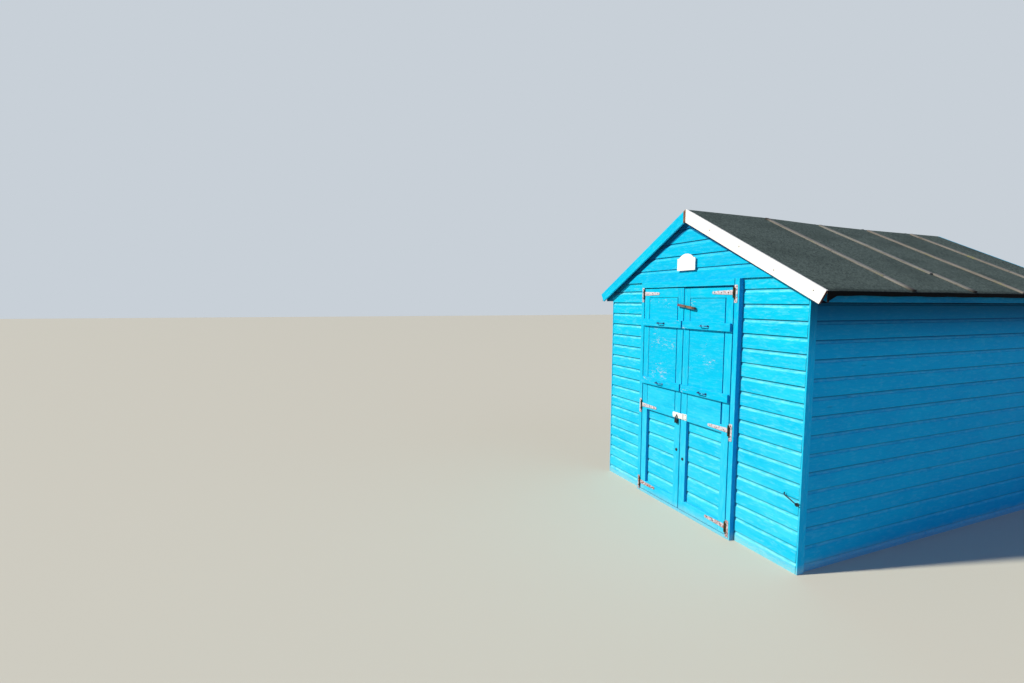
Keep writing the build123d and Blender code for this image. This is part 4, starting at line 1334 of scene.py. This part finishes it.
def makeHasp():
    look, (low, high) = haspLook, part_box("hasp")
    middle, plateStart = (low.z + high.z) / 2, high.x - look["plateLength"]

    def fixings(target, rng):
        for dx, dz in look["screws"]:
            screwHead(target, plateStart + dx, middle + dz, look["screwRadius"], rng)
        for x, z in look["bolts"]:
            boltHead(target, (x, leafFront, z), look["boltRadius"])

    dressedCopy("hasp", "hasp", [haspZinc, darkIron], "x", bevel=0.0008, seed=184, smooth=35, extras=fixings)


padlockLook = {"body": 0.042, "bevel": 0.0032, "shackle": 0.007, "shackleHalf": 0.011, "sunk": 0.004,
               "collar": 0.0105, "collarHeight": 0.0022}


def makePadlock():
    look, (low, high) = padlockLook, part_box("padlock")
    target = startPiece()[0]
    centre, bodyTop, half = (low + high) / 2, low.z + look["body"], look["shackleHalf"]
    addPart(target, block((high.x - low.x, high.y - low.y, look["body"]), (centre.x, centre.y, low.z + look["body"] / 2),
                          look["bevel"], 3))
    rise = look["sunk"] + high.z - look["shackle"] / 2 - bodyTop - half
    bar = Bar((centre.x - half, centre.y, bodyTop - look["sunk"]), (0, 0, 1), look["shackle"])
    bar.go(rise).bend((0, 1, 0), 180, half, 12).go(rise).done(target)
    for x in (-half, half):
        Bar((centre.x + x, centre.y, bodyTop - 0.001), (0, 0, 1), look["collar"]).go(look["collarHeight"]).done(target)
    finishPiece("padlock.worn", target, lockIron, "padlock", 35)


# The eye is screwed on by the corner, and the arm hangs up and to the left with its tip turned up
hookLook = {"bar": 0.0085, "eyeBar": 0.007, "eyeRadius": 0.010, "slope": 21, "length": 0.101, "bend": 0.006, "tip": 0.013,
            "standoff": 0.014, "eyeX": 1.180, "eyeZ": 0.526, "shank": 0.005, "plate": 0.026, "plateThickness": 0.004}


def makeHook():
    look = hookLook
    target, radius = startPiece()[0], look["eyeRadius"]
    lean = math.radians(look["slope"])
    along = Vector((-math.cos(lean), 0, math.sin(lean)))
    eye = Vector((look["eyeX"], front - look["standoff"], look["eyeZ"]))
    bar = Bar(eye + along * radius, along, look["bar"]).go(look["length"] - radius - look["bend"], 3)
    bar.bend((0, 1, 0), 80, look["bend"]).go(look["tip"]).done(target)
    ring = Bar(eye + Vector((radius, 0, 0)), (0, 0, 1), look["eyeBar"])
    ring.bend((0, 1, 0), -359, radius, 24).done(target)
    low = eye - Vector((0, 0, radius))
    Bar(low, (0, 1, 0), look["shank"]).go(look["standoff"]).done(target)
    Bar((low.x, front + 0.001, low.z), (0, -1, 0), look["plate"], 20).go(look["plateThickness"]).done(target)
    finishPiece("holdbackHook", target, lockIron, "holdback_hook", 35)


def makeIronmongery():
    makeHinges()
    for side, word in sides:
        target = startPiece()[0]
        for z in handleLook["heights"]:
            makeHandle(target, side * handleLook["x"], z)
        finishPiece(word + "Handles", target, handleZinc, word + "_handles", 40)
    makeHasp()
    makePadlock()
    dressedCopy("turnButton", "turn_button", [buttonTimber], "x", bevel=0.0022, seed=186, extras=slimButton)
    makeHook()
    print("ironmongery ready")


# Floor, light and camera

stageLook = {
    "floor": (202, 195, 183),
    "backdrop": (200, 208, 216),
    "skyHigh": (144, 176, 238),
    "skyLow": (154, 180, 222),
    "skyLowStrength": 0.14,
    "skyHighStrength": 0.46,
    "lamps": {"key": {"from": (-0.205, -0.766, 0.609), "power": 4.7, "angle": 3.0, "colour": (1.0, 0.98, 0.82)},
              "fill": {"from": (0.85, 0.48, 0.22), "power": 0.55, "angle": 60, "colour": (0.50, 0.70, 1.0)}},
}


def addSun(name, look):
    lamp = bpy.data.lights.new(name, "SUN")
    lamp.energy, lamp.color, lamp.angle = look["power"], look["colour"], math.radians(look["angle"])
    made = bpy.data.objects.new(name, lamp)
    made.location = Vector(look["from"]) * 12
    made.rotation_euler = (Vector(look["from"]) * -12).to_track_quat("-Z", "Y").to_euler()
    made.visible_camera = False
    scene.collection.objects.link(made)


# Blue light from overhead that pales towards the horizon
def makeSky():
    look = stageLook
    world = bpy.data.worlds.new("studio")
    world.use_nodes = True
    tree = world.node_tree
    shade = tree.nodes["Background"]
    height = objectCoords(tree, "Generated").along("Z")
    rise = look["skyHighStrength"] - look["skyLowStrength"]
    setInputs(shade, {"Color": coats(look["skyLow"], (height.fade(0.0, 0.7), look["skyHigh"])),
                      "Strength": height.fade(0.1, 0.9) * rise + look["skyLowStrength"]})
    plain = put(tree, "ShaderNodeBackground", {"Color": linear(*look["backdrop"]), "Strength": 1.0})
    seen = put(tree, "ShaderNodeLightPath", {}, "Is Camera Ray")
    both = put(tree, "ShaderNodeMixShader", {0: seen, 1: Field(shade.outputs[0]), 2: plain})
    setInputs(tree.nodes["World Output"], {"Surface": both})
    scene.world = world


def makeStage():
    bm, mesh = bmesh.new(), bpy.data.meshes.new("studioFloor")
    bmesh.ops.create_grid(bm, x_segments=1, y_segments=1, size=60.0)
    bm.to_mesh(mesh)
    bm.free()
    made, tree, shader = startMaterial("studioFloor")
    setInputs(shader, {"Base Color": linear(*stageLook["floor"]), "Roughness": 0.9, "Specular IOR Level": 0.1})
    mesh.materials.append(made)
    floor = bpy.data.objects.new("studioFloor", mesh)
    scene.collection.objects.link(floor)
    makeSky()
    for name, look in stageLook["lamps"].items():
        addSun(name, look)
    scene.view_settings.view_transform = "Standard"


cameraLook = {
    "place": (3.646, -5.069, 1.973),
    "focalPixels": 501.5,
    "imageWidth": 1024,
    "yaw": math.radians(-67.64),      # from +Y towards +X
    "pitch": math.radians(-4.63),
    "roll": math.radians(0.27),
}


def makeCamera():
    look = cameraLook
    yaw, pitch, roll = look["yaw"], look["pitch"], look["roll"]
    ahead = Vector((math.sin(yaw) * math.cos(pitch), math.cos(yaw) * math.cos(pitch), math.sin(pitch)))
    level = Vector((math.cos(yaw), -math.sin(yaw), 0))
    upright = level.cross(ahead)
    right = level * math.cos(roll) + upright * math.sin(roll)
    up = upright * math.cos(roll) - level * math.sin(roll)
    lens = bpy.data.cameras.new("photoView")
    lens.sensor_width = 36.0
    lens.lens = look["focalPixels"] / look["imageWidth"] * lens.sensor_width
    lens.clip_end = 200
    made = bpy.data.objects.new("photoView", lens)
    made.matrix_world = Matrix.Translation(look["place"]) @ Matrix((right, up, -ahead)).transposed().to_4x4()
    scene.collection.objects.link(made)
    scene.camera = made


makeCamera()
makeStage()
makeWalls()
makeFrames()
makeFloor()
makeRoof()
makeTrim()
for side, word in sides:
    makeLeaf(side, word)
print("door leaves ready")
makeIronmongery()

print("finished")
